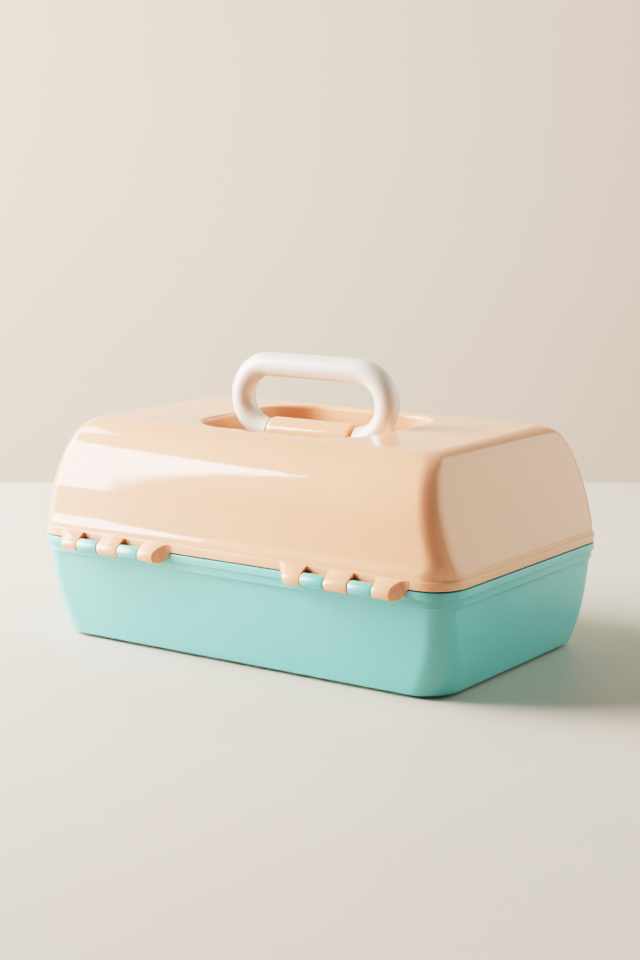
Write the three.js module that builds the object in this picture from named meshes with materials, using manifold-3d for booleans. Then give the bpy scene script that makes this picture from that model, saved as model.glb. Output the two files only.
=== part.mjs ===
// Sewing box with trays: a moulded base and a domed lid on two knuckle hinges, a ring handle that folds
// into a recess in the lid, a front latch, and two trays that step up and back on a parallel linkage
// while the lid opens.
// Millimetres, +Z up. Origin: centre of the underside. +X runs along the box, +Y is the hinge side.

import * as THREE from 'three';
import { mergeVertices } from 'three/addons/utils/BufferGeometryUtils.js';
import Module from 'manifold-3d';

const wasm = await Module();
wasm.setup();

// ---------------------------------------------------------------- driving dimensions

const HALF_LENGTH = 165; // parting outline along X
const HALF_WIDTH = 103.2; // parting outline along Y
const RIM_CORNER = 24; // corner radius of the parting outline
const PARTING_Z = 70.5;
const PARTING_GAP = 0.2; // each rim stops this far from the parting plane
const WALL = 2.6; // shell thickness
const CORNER_STEPS = 5; // facets in each quarter turn of a rounded outline

const BASE = {
  rimDrop: 11, // the stepped rim reaches this far below the parting plane
  lipDrop: 5.5, // the outer lip of that rim
  bandInset: 1.5,
  wallInset: 4.4,
  cornerHigh: 15, // corner radius of the walls under the rim
  cornerLow: 24, // and at the floor
  endDraft: 0.04, // inset per millimetre of drop, on the short walls
  sideDraft: 0.11, // the same on the long walls
  roundHeight: 44, // the walls curve in towards the floor over this height
  endRound: 7.6,
  sideRound: 2,
  footHeight: 1.5, // small round where the walls meet the underside
  footInset: 1.5,
  plinthHeight: 1.8, // the walls stop this far above the ground, over a plinth set in from them
  plinthInset: 6,
  floor: 4,
  tongueInset: 3.4, // raised ridge that the lid's rim closes around
  tongueWidth: 1.5,
  tongueHeight: 2.3,
};

const LID = {
  topZ: 149,
  lipHeight: 5.8,
  bandHeight: 9.3, // above it the wall flares out over the rim
  bandInset: 1.2,
  wallZ: 84, // the plain wall starts here
  wallInset: 3.3,
  cornerLow: 16,
  cornerHigh: 10,
  endDraft: 0.31, // the short walls are flat and lean in
  endRound: 14.6, // radius between a short wall and the top
  shoulderZ: 98, // the long walls curve in from here to the top
  shoulderInset: 33.2,
};

const RECESS = {
  halfX: 68,
  halfY: 61,
  corner: 37,
  lip: 3, // radius of the rounded lip
  draft: 1.2,
  floorZ: 129.5,
  floorRound: 2.5,
};

const HINGE = {
  y: 108.2,
  z: 68.4,
  centreX: 90.8,
  radius: 4.5,
  bore: 2.0,
  pin: 1.6,
  gap: 0.8, // between neighbouring knuckles
  lidKnuckles: [12.5, 17, 12.5], // the lid's lengths, outer, middle, outer
  baseKnuckle: 16.5,
  blindEnd: 3.5, // the inner knuckle closes the bore
  rootDepth: 1.6, // each knuckle's web starts this far inside the rim's face
  notch: 3.2, // radius of the relief in the lid's lip at the end of each base knuckle
  notchDepth: 7.8,
  flare: 8, // the outermost webs spread this far along the lip
  flareRadius: 9.3, // hollow of that spread
};

const HANDLE = {
  y: 4,
  z: 139.8, // pivot axis, along X
  tube: 8.2,
  rise: 45.2, // pivot axis to the grip's axis
  halfStraight: 35.7,
  spindle: 6,
};

const CLAMP = {
  halfLength: 34.4,
  radius: 9.7,
  endRound: 4.4, // the barrel's ends round off this far in from its length
  endRadius: 7.4,
  bore: 6.4,
  flangeHalf: 17.5,
  flangeTop: 135.6,
  screwX: 24,
  screwY: 13.6, // from the pivot axis
  screwHole: 1.7,
  screwShank: 1.4,
  screwHead: 3.2,
  screwLength: 9,
};

const LATCH = {
  y: -108.2,
  z: 79.5,
  radius: 4.5,
  bore: 2.0,
  pin: 1.6,
  halfWidth: 21,
  plate: 2.6,
  bottomZ: 53.5,
  lugWidth: 6,
  sideGap: 0.5,
  keeperReach: 3.9, // the keeper's nose stands this far out from the base's rim
  keeperTop: 66,
  keeperFoot: 59.5,
  keeperInset: 3, // at each end, from the latch's width
  bead: 2.4, // how far the bead stands in from the plate
  beadLow: 3, // the bead's crest, above the plate's lower edge
  beadHigh: 4.4,
  chamfer: 1.2,
};

// The linkage is a parallelogram: the crank in the lid and the arm on the base are equal and parallel,
// so both trays stay level. The lower tray hangs at half the crank's length.
const LINK = {
  length: 72,
  dip: 12 * Math.PI / 180, // the crank points forwards and this far down when the box is shut
  baseY: -6,
  baseZ: 60,
  lowerShare: 0.5,
  margin: 5.6, // material around each pivot
  hole: 2.5,
  rivet: 2.0,
  head: 3.6,
  headThickness: 1.2,
};

// Bosses on the end walls' inner faces, and the screws that go into them.
const BOSS = {
  armRadius: 6,
  armReach: 159, // distance from the middle at which the boss is buried in the wall
  bracketRadius: 4,
  bracketReach: 158.2,
  hole: 1.6,
  holeEnd: 156,
  screw: 1.3,
  screwTip: 155.5,
};

// Layers across the box, as distances from the middle: tray wall, tray ear, then arm or bracket.
const LAYER = {
  tray: 141,
  earIn: 143,
  earOut: 145.5,
  armIn: 146,
  armOut: 148.5,
  gap: 0.4,
};

const UPPER_TRAY = { halfX: LAYER.tray, back: 84, front: -86, bottom: 58, top: 94, corner: 12, wall: 2 };
const LOWER_TRAY = { halfX: LAYER.tray, back: 64, front: -86, bottom: 30, top: 54, corner: 12, wall: 2 };

// ---------------------------------------------------------------- materials

const plastic = (color, roughness) => new THREE.MeshStandardMaterial({ color, roughness, metalness: 0 });
const peach = plastic(0xf0d0b4, 0.22);
const mint = plastic(0xa6dbd1, 0.32);
const white = plastic(0xf3f3f0, 0.3);
const trayWhite = plastic(0xf1efe9, 0.4);
const steel = new THREE.MeshStandardMaterial({ color: 0xb9bcc0, roughness: 0.3, metalness: 1 });

const box = new THREE.Group();

function addPiece(name, geometry, material) {
  const mesh = new THREE.Mesh(geometry, material);
  mesh.name = name;
  box.add(mesh);
}

// ---------------------------------------------------------------- solids

function toSolid(geometry) {
  const bare = geometry.clone();
  bare.deleteAttribute('normal');
  bare.deleteAttribute('uv');
  const merged = mergeVertices(bare, 1e-4);
  const vertProperties = new Float32Array(merged.attributes.position.array);
  const triVerts = new Uint32Array(merged.index.array);
  return new wasm.Manifold(new wasm.Mesh({ numProp: 3, vertProperties, triVerts }));
}

function toGeometry(solid) {
  const { numProp, vertProperties, triVerts } = solid.getMesh();
  const geometry = new THREE.BufferGeometry();
  const positions = new Float32Array(vertProperties.length / numProp * 3);
  for (let vertex = 0; vertex < positions.length / 3; vertex += 1) {
    for (let axis = 0; axis < 3; axis += 1) {
      positions[3 * vertex + axis] = vertProperties[numProp * vertex + axis];
    }
  }
  geometry.setAttribute('position', new THREE.BufferAttribute(positions, 3));
  geometry.setIndex(new THREE.BufferAttribute(new Uint32Array(triVerts), 1));
  geometry.computeVertexNormals();
  return geometry;
}

function build(body, { join = [], cut = [] }) {
  let solid = toSolid(body);
  for (const geometry of join) {
    solid = solid.add(toSolid(geometry));
  }
  for (const geometry of cut) {
    solid = solid.subtract(toSolid(geometry));
  }
  return toGeometry(solid);
}

// ---------------------------------------------------------------- geometry helpers

// A rounded rectangle at height z.
function ring(z, halfX, halfY, radius, centreY = 0) {
  const corner = Math.max(radius, 1);
  const points = [];
  for (let quarter = 0; quarter < 4; quarter += 1) {
    const signX = quarter === 0 || quarter === 3 ? 1 : -1;
    const signY = quarter < 2 ? 1 : -1;
    for (let step = 0; step <= CORNER_STEPS; step += 1) {
      const angle = (quarter + step / CORNER_STEPS) * Math.PI / 2;
      const x = signX * (halfX - corner) + corner * Math.cos(angle);
      const y = signY * (halfY - corner) + corner * Math.sin(angle);
      points.push(new THREE.Vector3(x, centreY + y, z));
    }
  }
  return points;
}

// A closed skin through a row of rings, capped at both ends. The first cap faces down, the last one up.
function loft(rings) {
  const count = rings[0].length;
  const positions = [];
  for (const points of rings) {
    for (const point of points) {
      positions.push(point.x, point.y, point.z);
    }
  }
  const index = [];
  for (let row = 0; row < rings.length - 1; row += 1) {
    for (let column = 0; column < count; column += 1) {
      const a = row * count + column;
      const b = row * count + (column + 1) % count;
      index.push(a, b, b + count, a, b + count, a + count);
    }
  }
  const last = (rings.length - 1) * count;
  for (let column = 1; column < count - 1; column += 1) {
    index.push(0, column + 1, column);
    index.push(last, last + column, last + column + 1);
  }
  const geometry = new THREE.BufferGeometry();
  geometry.setAttribute('position', new THREE.Float32BufferAttribute(positions, 3));
  geometry.setIndex(index);
  return geometry;
}

// How far a quarter ellipse of depth 1 has turned in at fraction t of its height.
const turnIn = (t) => 1 - Math.sqrt(1 - t * t);

// A prism along X: the shape's own x is the box's y, and its y is the box's z.
function prismX(shape, fromX, toX, curveSegments = 5) {
  const options = { depth: toX - fromX, bevelEnabled: false, curveSegments };
  const geometry = new THREE.ExtrudeGeometry(shape, options);
  geometry.rotateX(Math.PI / 2);
  geometry.rotateZ(Math.PI / 2);
  geometry.translate(fromX, 0, 0);
  return geometry;
}

function rodX(radius, fromX, toX, y, z, segments = 12) {
  const geometry = new THREE.CylinderGeometry(radius, radius, toX - fromX, segments);
  geometry.rotateZ(Math.PI / 2);
  geometry.translate((fromX + toX) / 2, y, z);
  return geometry;
}

function rodZ(radius, fromZ, toZ, x, y, segments = 10) {
  const geometry = new THREE.CylinderGeometry(radius, radius, toZ - fromZ, segments);
  geometry.rotateX(Math.PI / 2);
  geometry.translate(x, y, (fromZ + toZ) / 2);
  return geometry;
}

function block(fromX, toX, fromY, toY, fromZ, toZ) {
  const geometry = new THREE.BoxGeometry(toX - fromX, toY - fromY, toZ - fromZ);
  geometry.translate((fromX + toX) / 2, (fromY + toY) / 2, (fromZ + toZ) / 2);
  return geometry;
}

// A turned piece along X, from [x, radius] pairs that start and end on the axis.
function turnedX(profile, segments = 10) {
  const points = profile.map(([x, radius]) => new THREE.Vector2(radius, x));
  const geometry = new THREE.LatheGeometry(points, segments);
  geometry.rotateZ(-Math.PI / 2);
  return geometry;
}

// The same piece on either end of the box.
function sideTurned(profile, side, y, z) {
  const geometry = turnedX(profile);
  if (side < 0) {
    geometry.rotateZ(Math.PI);
  }
  geometry.translate(0, y, z);
  return geometry;
}

// The outline that a taut band would take around circles, given as [y, z, radius].
function bandOutline(circles, steps = 16) {
  const cloud = [];
  for (const [y, z, radius] of circles) {
    for (let step = 0; step < steps; step += 1) {
      const angle = 2 * Math.PI * step / steps;
      cloud.push([y + radius * Math.cos(angle), z + radius * Math.sin(angle)]);
    }
  }
  cloud.sort((p, q) => p[0] - q[0] || p[1] - q[1]);
  const turn = (o, p, q) => (p[0] - o[0]) * (q[1] - o[1]) - (p[1] - o[1]) * (q[0] - o[0]);
  const half = (points) => {
    const chain = [];
    for (const point of points) {
      while (chain.length > 1 && turn(chain[chain.length - 2], chain[chain.length - 1], point) <= 1e-9) {
        chain.pop();
      }
      chain.push(point);
    }
    chain.pop();
    return chain;
  };
  const outline = [...half(cloud), ...half([...cloud].reverse())];
  return new THREE.Shape(outline.map(([y, z]) => new THREE.Vector2(y, z)));
}

function withHoles(shape, holes) {
  for (const [y, z, radius] of holes) {
    const hole = new THREE.Path();
    hole.absarc(y, z, radius, 0, 2 * Math.PI, true);
    shape.holes.push(hole);
  }
  return shape;
}

const SIDES = [['left', -1], ['right', 1]];

// The same piece on either end: from and to are distances from the middle plane.
function sidePrism(shape, side, from, to) {
  return side > 0 ? prismX(shape, from, to) : prismX(shape, -to, -from);
}

function sideRod(radius, side, from, to, y, z) {
  return side > 0 ? rodX(radius, from, to, y, z) : rodX(radius, -to, -from, y, z);
}

// ---------------------------------------------------------------- base shell

// Outline of the base's outer wall at height z, moved in by extra.
function baseRing(z, extra = 0) {
  const drop = PARTING_Z - BASE.rimDrop - z;
  const depth = Math.max(drop, 0) / (PARTING_Z - BASE.rimDrop);
  const bend = turnIn(Math.max(0, 1 - z / BASE.roundHeight));
  const aboveFoot = Math.min((z - BASE.plinthHeight) / BASE.footHeight, 1);
  const foot = extra > 0 ? 0 : BASE.footInset * turnIn(1 - aboveFoot);
  const insetX = BASE.wallInset + BASE.endDraft * drop + BASE.endRound * bend + foot + extra;
  const insetY = BASE.wallInset + BASE.sideDraft * drop + BASE.sideRound * bend + foot + extra;
  const corner = BASE.cornerHigh + (BASE.cornerLow - BASE.cornerHigh) * depth ** 1.6;
  return ring(z, HALF_LENGTH - insetX, HALF_WIDTH - insetY, corner - extra);
}

function rimRing(z, inset) {
  return ring(z, HALF_LENGTH - inset, HALF_WIDTH - inset, RIM_CORNER - inset);
}

function baseShell() {
  const top = PARTING_Z - PARTING_GAP;
  const rimFoot = PARTING_Z - BASE.rimDrop;
  const lipFoot = PARTING_Z - BASE.lipDrop;
  const tongueTop = PARTING_Z + BASE.tongueHeight;
  const tongueIn = BASE.tongueInset + BASE.tongueWidth;
  const rings = [];
  const { plinthHeight, plinthInset, footHeight } = BASE;
  const roundFoot = plinthHeight + footHeight;
  rings.push(baseRing(0, plinthInset), baseRing(plinthHeight, plinthInset));
  rings.push(baseRing(plinthHeight), baseRing(plinthHeight + footHeight * 0.3));
  const roundSteps = 6;
  for (let step = 0; step < roundSteps; step += 1) {
    const rise = (step / roundSteps) ** 1.5;
    rings.push(baseRing(roundFoot + (BASE.roundHeight - roundFoot) * rise));
  }
  rings.push(baseRing(BASE.roundHeight));
  rings.push(baseRing(rimFoot - 1));
  rings.push(rimRing(rimFoot, BASE.bandInset + 0.4), rimRing(rimFoot + 0.5, BASE.bandInset));
  rings.push(rimRing(lipFoot - 0.4, BASE.bandInset), rimRing(lipFoot, 0.3));
  rings.push(rimRing(lipFoot + 0.5, 0), rimRing(top - 0.5, 0), rimRing(top, 0.5));
  rings.push(rimRing(top, BASE.tongueInset), rimRing(tongueTop - 0.4, BASE.tongueInset));
  rings.push(rimRing(tongueTop, BASE.tongueInset + 0.4), rimRing(tongueTop, tongueIn));
  rings.push(rimRing(rimFoot + 0.5, tongueIn), baseRing(rimFoot - 2.5, WALL));
  for (const z of [BASE.roundHeight, 32, 22, 13]) {
    rings.push(baseRing(z, WALL));
  }
  rings.push(baseRing(BASE.floor + 4, WALL), baseRing(BASE.floor + 1.2, WALL + 1.2));
  rings.push(baseRing(BASE.floor, WALL + 4));
  return loft(rings);
}

// The knuckles of one hinge: [from, to, owner] along X. The outer end of the hinge is its open end.
function knuckleSpans(centreX) {
  const [outer, middle, inner] = HINGE.lidKnuckles;
  const lengths = [outer, HINGE.baseKnuckle, middle, HINGE.baseKnuckle, inner];
  const total = lengths.reduce((sum, length) => sum + length, HINGE.gap * (lengths.length - 1));
  const spans = [];
  let x = centreX - total / 2;
  lengths.forEach((length, place) => {
    spans.push([x, x + length, place % 2 === 0 ? 'lid' : 'base']);
    x += length + HINGE.gap;
  });
  return spans;
}

// Section of a base knuckle: a barrel with a gusset down to the rim.
function baseKnuckleShape() {
  const rimY = HALF_WIDTH - HINGE.rootDepth;
  const webFoot = PARTING_Z - BASE.lipDrop - 0.6;
  const shape = new THREE.Shape();
  shape.moveTo(rimY, PARTING_Z - PARTING_GAP - 0.6);
  shape.lineTo(rimY, webFoot);
  shape.lineTo(HALF_WIDTH + 0.4, webFoot);
  shape.absarc(HINGE.y, HINGE.z, HINGE.radius, -1.75, Math.PI + 0.1, false);
  return shape;
}

// Section of a lid knuckle: a barrel hung by a sloping web from the lip of the rim, just clear of the
// base's rim behind it.
function lidKnuckleShape() {
  const rimY = HALF_WIDTH - HINGE.rootDepth;
  const webTop = PARTING_Z + LID.lipHeight;
  const webFoot = PARTING_Z + PARTING_GAP + 0.4;
  const shape = new THREE.Shape();
  shape.moveTo(rimY, webTop);
  shape.lineTo(rimY, webFoot);
  shape.lineTo(HALF_WIDTH + 0.2, webFoot);
  shape.absarc(HINGE.y, HINGE.z, HINGE.radius, 2.94, 1 + 2 * Math.PI, false);
  shape.lineTo(HALF_WIDTH + 1, webTop);
  return shape;
}

// The lid's outermost knuckles run on along the lip, and flareHollows shapes what runs on.
function hingeParts(owner, shape) {
  const parts = [];
  for (const side of [-1, 1]) {
    knuckleSpans(side * HINGE.centreX).forEach(([from, to, holder], place, spans) => {
      if (holder === owner) {
        const before = place === 0 ? HINGE.flare : 0;
        const after = place === spans.length - 1 ? HINGE.flare : 0;
        parts.push(prismX(shape, from - before, to + after));
      }
    });
  }
  return parts;
}

// Upright hollows that sweep each hinge's outer ends from the barrel back to the lip.
function flareHollows() {
  const { flareRadius, radius } = HINGE;
  const centreY = HINGE.y + radius;
  const hollows = [];
  for (const side of [-1, 1]) {
    const spans = knuckleSpans(side * HINGE.centreX);
    const offset = flareRadius - 0.3;
    for (const x of [spans[0][0] - offset, spans[spans.length - 1][1] + offset]) {
      hollows.push(rodZ(flareRadius, HINGE.z - 2 * radius, HINGE.z + 3 * radius, x, centreY, 28));
    }
  }
  return hollows;
}

// Half-round reliefs through the lid's lip and the web beside it, at the +X end of each base knuckle.
function lipNotches() {
  const notches = [];
  for (const side of [-1, 1]) {
    for (const [, to, holder] of knuckleSpans(side * HINGE.centreX)) {
      if (holder === 'base') {
        const notch = new THREE.CylinderGeometry(HINGE.notch, HINGE.notch, HINGE.notchDepth, 14);
        notch.translate(to, HALF_WIDTH + 0.7, PARTING_Z + 0.3);
        notches.push(notch);
      }
    }
  }
  return notches;
}

// The bore of a hinge stops short of the hinge's -X end.
function hingeRod(side, radius, shorten) {
  const spans = knuckleSpans(side * HINGE.centreX);
  const from = spans[0][0] + HINGE.blindEnd + shorten;
  const to = spans[spans.length - 1][1] + (shorten ? -shorten : HINGE.flare);
  return rodX(radius, from, to, HINGE.y, HINGE.z);
}

// A ledge on the base's rim with a nose that the latch snaps under.
function latchKeeper() {
  const { keeperReach, keeperTop, keeperFoot, keeperInset, halfWidth } = LATCH;
  const nose = -HALF_WIDTH - keeperReach;
  const shape = new THREE.Shape();
  shape.moveTo(-HALF_WIDTH + 2, keeperFoot);
  shape.lineTo(-HALF_WIDTH + 2, keeperTop);
  shape.lineTo(-HALF_WIDTH, keeperTop);
  shape.lineTo(nose, keeperFoot + 3.3);
  shape.lineTo(nose, keeperFoot + 1.5);
  shape.lineTo(-HALF_WIDTH, keeperFoot + 0.5);
  shape.lineTo(-HALF_WIDTH + 0.4, keeperFoot);
  return prismX(shape, -halfWidth + keeperInset, halfWidth - keeperInset);
}

const baseParts = {
  join: [...hingeParts('base', baseKnuckleShape()), latchKeeper()],
  cut: [hingeRod(-1, HINGE.bore, 0), hingeRod(1, HINGE.bore, 0)],
};
for (const [, side] of SIDES) {
  const bossFace = LAYER.armOut + LAYER.gap;
  baseParts.join.push(sideRod(BOSS.armRadius, side, bossFace, BOSS.armReach, LINK.baseY, LINK.baseZ));
  baseParts.cut.push(sideRod(BOSS.hole, side, LAYER.armOut, BOSS.holeEnd, LINK.baseY, LINK.baseZ));
}
addPiece('base_shell', build(baseShell(), baseParts), mint);

// ---------------------------------------------------------------- lid shell

// Outline of the lid's outer wall at height z, moved in by extra.
function lidRing(z, extra = 0) {
  const top = LID.topZ;
  const slope = Math.atan(LID.endDraft);
  const roundZ = top - LID.endRound * (1 - Math.sin(slope));
  let insetX = LID.wallInset + LID.endDraft * (Math.min(z, roundZ) - LID.wallZ);
  if (z > roundZ) {
    const rise = Math.min((z - top + LID.endRound) / LID.endRound, 1);
    insetX += LID.endRound * (Math.cos(slope) - Math.sqrt(1 - rise * rise));
  }
  const turn = turnIn(Math.min(Math.max((z - LID.shoulderZ) / (top - LID.shoulderZ), 0), 1));
  const insetY = LID.wallInset + LID.shoulderInset * turn;
  const share = (z - LID.wallZ) / (top - LID.wallZ);
  const corner = LID.cornerLow + (LID.cornerHigh - LID.cornerLow) * share;
  return [HALF_LENGTH - insetX - extra, HALF_WIDTH - insetY - extra, corner - extra];
}

function recessRing(z, grow) {
  return ring(z, RECESS.halfX + grow, RECESS.halfY + grow, RECESS.corner + grow);
}

function lidShell() {
  const bottom = PARTING_Z + PARTING_GAP;
  const top = LID.topZ;
  const lipTop = PARTING_Z + LID.lipHeight;
  const bandTop = PARTING_Z + LID.bandHeight;
  const wallRing = (z) => ring(z, ...lidRing(z));
  const innerRing = (z) => ring(z, ...lidRing(z + 1, WALL));
  const rings = [];

  // Underside of the recess, then up its outside to the ceiling.
  rings.push(recessRing(RECESS.floorZ - WALL, WALL - RECESS.draft - 2));
  rings.push(recessRing(RECESS.floorZ - WALL + 1.5, WALL - RECESS.draft));
  rings.push(recessRing(top - WALL, WALL));

  // Ceiling, shoulder and inner wall, down to the rim.
  const shoulderSteps = [145.4, 142, 137, 130, 119, 106, LID.wallZ + 3];
  rings.push(ring(top - WALL, ...lidRing(146.8 + 1, WALL)));
  for (const z of shoulderSteps) {
    rings.push(innerRing(z));
  }
  rings.push(rimRing(bandTop, 2.9 + LID.bandInset), rimRing(lipTop - 1, 2.8), rimRing(bottom, 2.8));

  // Outside: stepped rim, wall and shoulder.
  rings.push(rimRing(bottom, 0.4), rimRing(bottom + 0.4, 0), rimRing(lipTop - 0.4, 0));
  rings.push(rimRing(lipTop, 0.4), rimRing(lipTop, LID.bandInset), rimRing(bandTop - 0.6, LID.bandInset));
  rings.push(rimRing(bandTop, LID.bandInset + 0.5), wallRing(LID.wallZ));
  const outerSteps = 10;
  for (let step = 0; step <= outerSteps; step += 1) {
    const angle = Math.PI / 2 * step / outerSteps;
    rings.push(wallRing(LID.shoulderZ + (top - LID.shoulderZ) * Math.sin(angle)));
  }

  // Over the lip into the recess.
  const lipSteps = 3;
  for (let step = 0; step <= lipSteps; step += 1) {
    const angle = Math.PI / 2 * step / lipSteps;
    rings.push(recessRing(top - RECESS.lip * (1 - Math.cos(angle)), RECESS.lip * (1 - Math.sin(angle))));
  }
  rings.push(recessRing(RECESS.floorZ + RECESS.floorRound, -RECESS.draft));
  rings.push(recessRing(RECESS.floorZ + 0.7, -RECESS.draft - 0.7));
  rings.push(recessRing(RECESS.floorZ, -RECESS.draft - RECESS.floorRound));
  return loft(rings);
}

const lidLug = bandOutline([
  [LATCH.y, LATCH.z, LATCH.radius - 0.4],
  [-HALF_WIDTH + 3.5, LATCH.z, LATCH.radius - 0.6],
]);
const clampScrews = [];
for (const signX of [-1, 1]) {
  for (const signY of [-1, 1]) {
    clampScrews.push([signX * CLAMP.screwX, HANDLE.y + signY * CLAMP.screwY]);
  }
}
const bracketScrews = [[50, 90], [74, 90]];

const lidParts = {
  join: hingeParts('lid', lidKnuckleShape()),
  cut: [hingeRod(-1, HINGE.bore, 0), hingeRod(1, HINGE.bore, 0), ...lipNotches(), ...flareHollows()],
};
for (const [, side] of SIDES) {
  const lugIn = LATCH.halfWidth + LATCH.sideGap;
  lidParts.join.push(sidePrism(lidLug, side, lugIn, lugIn + LATCH.lugWidth));
  lidParts.cut.push(sideRod(LATCH.bore, side, lugIn - 1, lugIn + LATCH.lugWidth - 1.2, LATCH.y, LATCH.z));
  const bossFace = LAYER.armOut + LAYER.gap;
  for (const [y, z] of bracketScrews) {
    lidParts.join.push(sideRod(BOSS.bracketRadius, side, bossFace, BOSS.bracketReach, y, z));
    lidParts.cut.push(sideRod(BOSS.hole, side, LAYER.armOut, BOSS.holeEnd, y, z));
  }
}
for (const [x, y] of clampScrews) {
  lidParts.cut.push(rodZ(CLAMP.screwHole, RECESS.floorZ - 6, RECESS.floorZ + 1, x, y));
}
addPiece('lid_shell', build(lidShell(), lidParts), peach);

// ---------------------------------------------------------------- hinge pins

for (const [name, side] of SIDES) {
  addPiece(`hinge_pin_${name}`, hingeRod(side, HINGE.pin, 0.6), steel);
}

// ---------------------------------------------------------------- handle and its clamp

function handleRing() {
  const { y, z, tube, rise, halfStraight } = HANDLE;
  const radius = rise / 2;
  const endX = CLAMP.halfLength + 0.6;
  const path = new THREE.CurvePath();
  const point = (x, height) => new THREE.Vector3(x, y, z + height);
  path.add(new THREE.LineCurve3(point(endX, 0), point(halfStraight, 0)));
  const arcSteps = 12;
  const arc = (sign) => {
    const points = [];
    for (let step = 0; step <= arcSteps; step += 1) {
      const angle = Math.PI * step / arcSteps;
      const height = radius * (1 - sign * Math.cos(angle));
      points.push(point(sign * (halfStraight + radius * Math.sin(angle)), height));
    }
    return points;
  };
  const joints = [...arc(1), ...arc(-1)];
  for (let i = 0; i < joints.length - 1; i += 1) {
    path.add(new THREE.LineCurve3(joints[i], joints[i + 1]));
  }
  path.add(new THREE.LineCurve3(point(-halfStraight, 0), point(-endX, 0)));
  const section = new THREE.Shape();
  section.absarc(0, 0, tube, 0, 2 * Math.PI, false);
  const grip = new THREE.ExtrudeGeometry(section, { steps: 40, curveSegments: 7, extrudePath: path });
  const spindle = rodX(HANDLE.spindle, -endX - 3, endX + 3, y, z, 16);
  return build(grip, { join: [spindle] });
}

// A barrel with rounded ends around the spindle, on a broad foot that takes the screws.
function clampBody() {
  const { y, z } = HANDLE;
  const { halfLength, radius, endRound, endRadius, flangeHalf, flangeTop, bore, screwHole } = CLAMP;
  const footZ = RECESS.floorZ + 0.3;
  const footHalfLength = halfLength - endRound;
  const roundSteps = 4;
  const half = [];
  for (let step = 0; step <= roundSteps; step += 1) {
    const angle = Math.PI / 2 * step / roundSteps;
    const reach = footHalfLength + endRound * Math.sin(angle);
    half.push([reach, endRadius + (radius - endRadius) * Math.cos(angle)]);
  }
  const mirrored = [...half].reverse().map(([x, r]) => [-x, r]);
  const barrel = turnedX([[-halfLength, 0], ...mirrored, ...half, [halfLength, 0]], 24);
  barrel.translate(0, y, z);
  const chamfer = 1.5;
  const neck = radius - 0.1;
  const rightHalf = [
    [flangeHalf, footZ], [flangeHalf, flangeTop - chamfer], [flangeHalf - chamfer, flangeTop],
    [neck, flangeTop], [neck, z],
  ];
  const leftHalf = [...rightHalf].reverse().map(([offset, height]) => [-offset, height]);
  const outline = [...rightHalf, ...leftHalf];
  const foot = new THREE.Shape(outline.map(([offset, height]) => new THREE.Vector2(y + offset, height)));
  const trim = block(-halfLength - 1, halfLength + 1, y - flangeHalf, y + flangeHalf, z - 20, footZ);
  const holes = clampScrews.map(([x, holeY]) => rodZ(screwHole, footZ - 1, flangeTop - 1.6, x, holeY));
  return build(barrel, {
    join: [prismX(foot, -footHalfLength, footHalfLength)],
    cut: [rodX(bore, -halfLength - 1, halfLength + 1, y, z, 16), trim, ...holes],
  });
}

function clampScrew(x, y) {
  const { screwHead, screwShank, screwLength } = CLAMP;
  const headTop = RECESS.floorZ - WALL - 0.3;
  const profile = [
    [0, 0], [screwHead - 0.6, 0], [screwHead, 2], [screwShank, 2], [screwShank, screwLength - 0.8],
    [0, screwLength],
  ];
  const points = profile.map(([radius, height]) => new THREE.Vector2(radius, height));
  const geometry = new THREE.LatheGeometry(points, 10);
  geometry.rotateX(Math.PI / 2);
  geometry.translate(x, y, headTop - 2);
  return geometry;
}

addPiece('handle', handleRing(), white);
addPiece('handle_clamp', clampBody(), peach);
clampScrews.forEach(([x, y], place) => {
  addPiece(`clamp_screw_${place + 1}`, clampScrew(x, y), steel);
});

// ---------------------------------------------------------------- latch

// The latch hangs in front of the keeper. Its bead stays just clear of the keeper's nose.
function latchBody() {
  const outer = LATCH.y - LATCH.radius;
  const inner = outer + LATCH.plate;
  const { bottomZ, bead, beadLow, beadHigh, chamfer } = LATCH;
  const shape = new THREE.Shape();
  shape.moveTo(LATCH.y, LATCH.z - LATCH.radius);
  shape.absarc(LATCH.y, LATCH.z, LATCH.radius, -Math.PI / 2, Math.PI, false);
  shape.lineTo(outer, bottomZ + chamfer);
  shape.lineTo(outer + chamfer, bottomZ);
  shape.lineTo(inner + 0.4, bottomZ);
  shape.lineTo(inner + bead, bottomZ + beadLow);
  shape.lineTo(inner + bead, bottomZ + beadHigh);
  shape.lineTo(inner, bottomZ + beadHigh + 2);
  shape.lineTo(inner, LATCH.z - LATCH.radius - 1);
  withHoles(shape, [[LATCH.y, LATCH.z, LATCH.bore]]);
  return prismX(shape, -LATCH.halfWidth, LATCH.halfWidth);
}

const latchPinHalf = LATCH.halfWidth + LATCH.sideGap + LATCH.lugWidth - 1.8;
addPiece('latch', latchBody(), white);
addPiece('latch_pin', rodX(LATCH.pin, -latchPinHalf, latchPinHalf, LATCH.y, LATCH.z), steel);

// ---------------------------------------------------------------- linkage

const crankY = -LINK.length * Math.cos(LINK.dip);
const crankZ = -LINK.length * Math.sin(LINK.dip);
const along = ([y, z], share) => [y + share * crankY, z + share * crankZ];
const hingeAxis = [HINGE.y, HINGE.z];
const basePivot = [LINK.baseY, LINK.baseZ];
const upperFront = along(basePivot, 1);
const upperRear = along(hingeAxis, 1);
const lowerFront = along(basePivot, LINK.lowerShare);
const lowerRear = along(hingeAxis, LINK.lowerShare);
const around = ([y, z], radius) => [y, z, radius];

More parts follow.
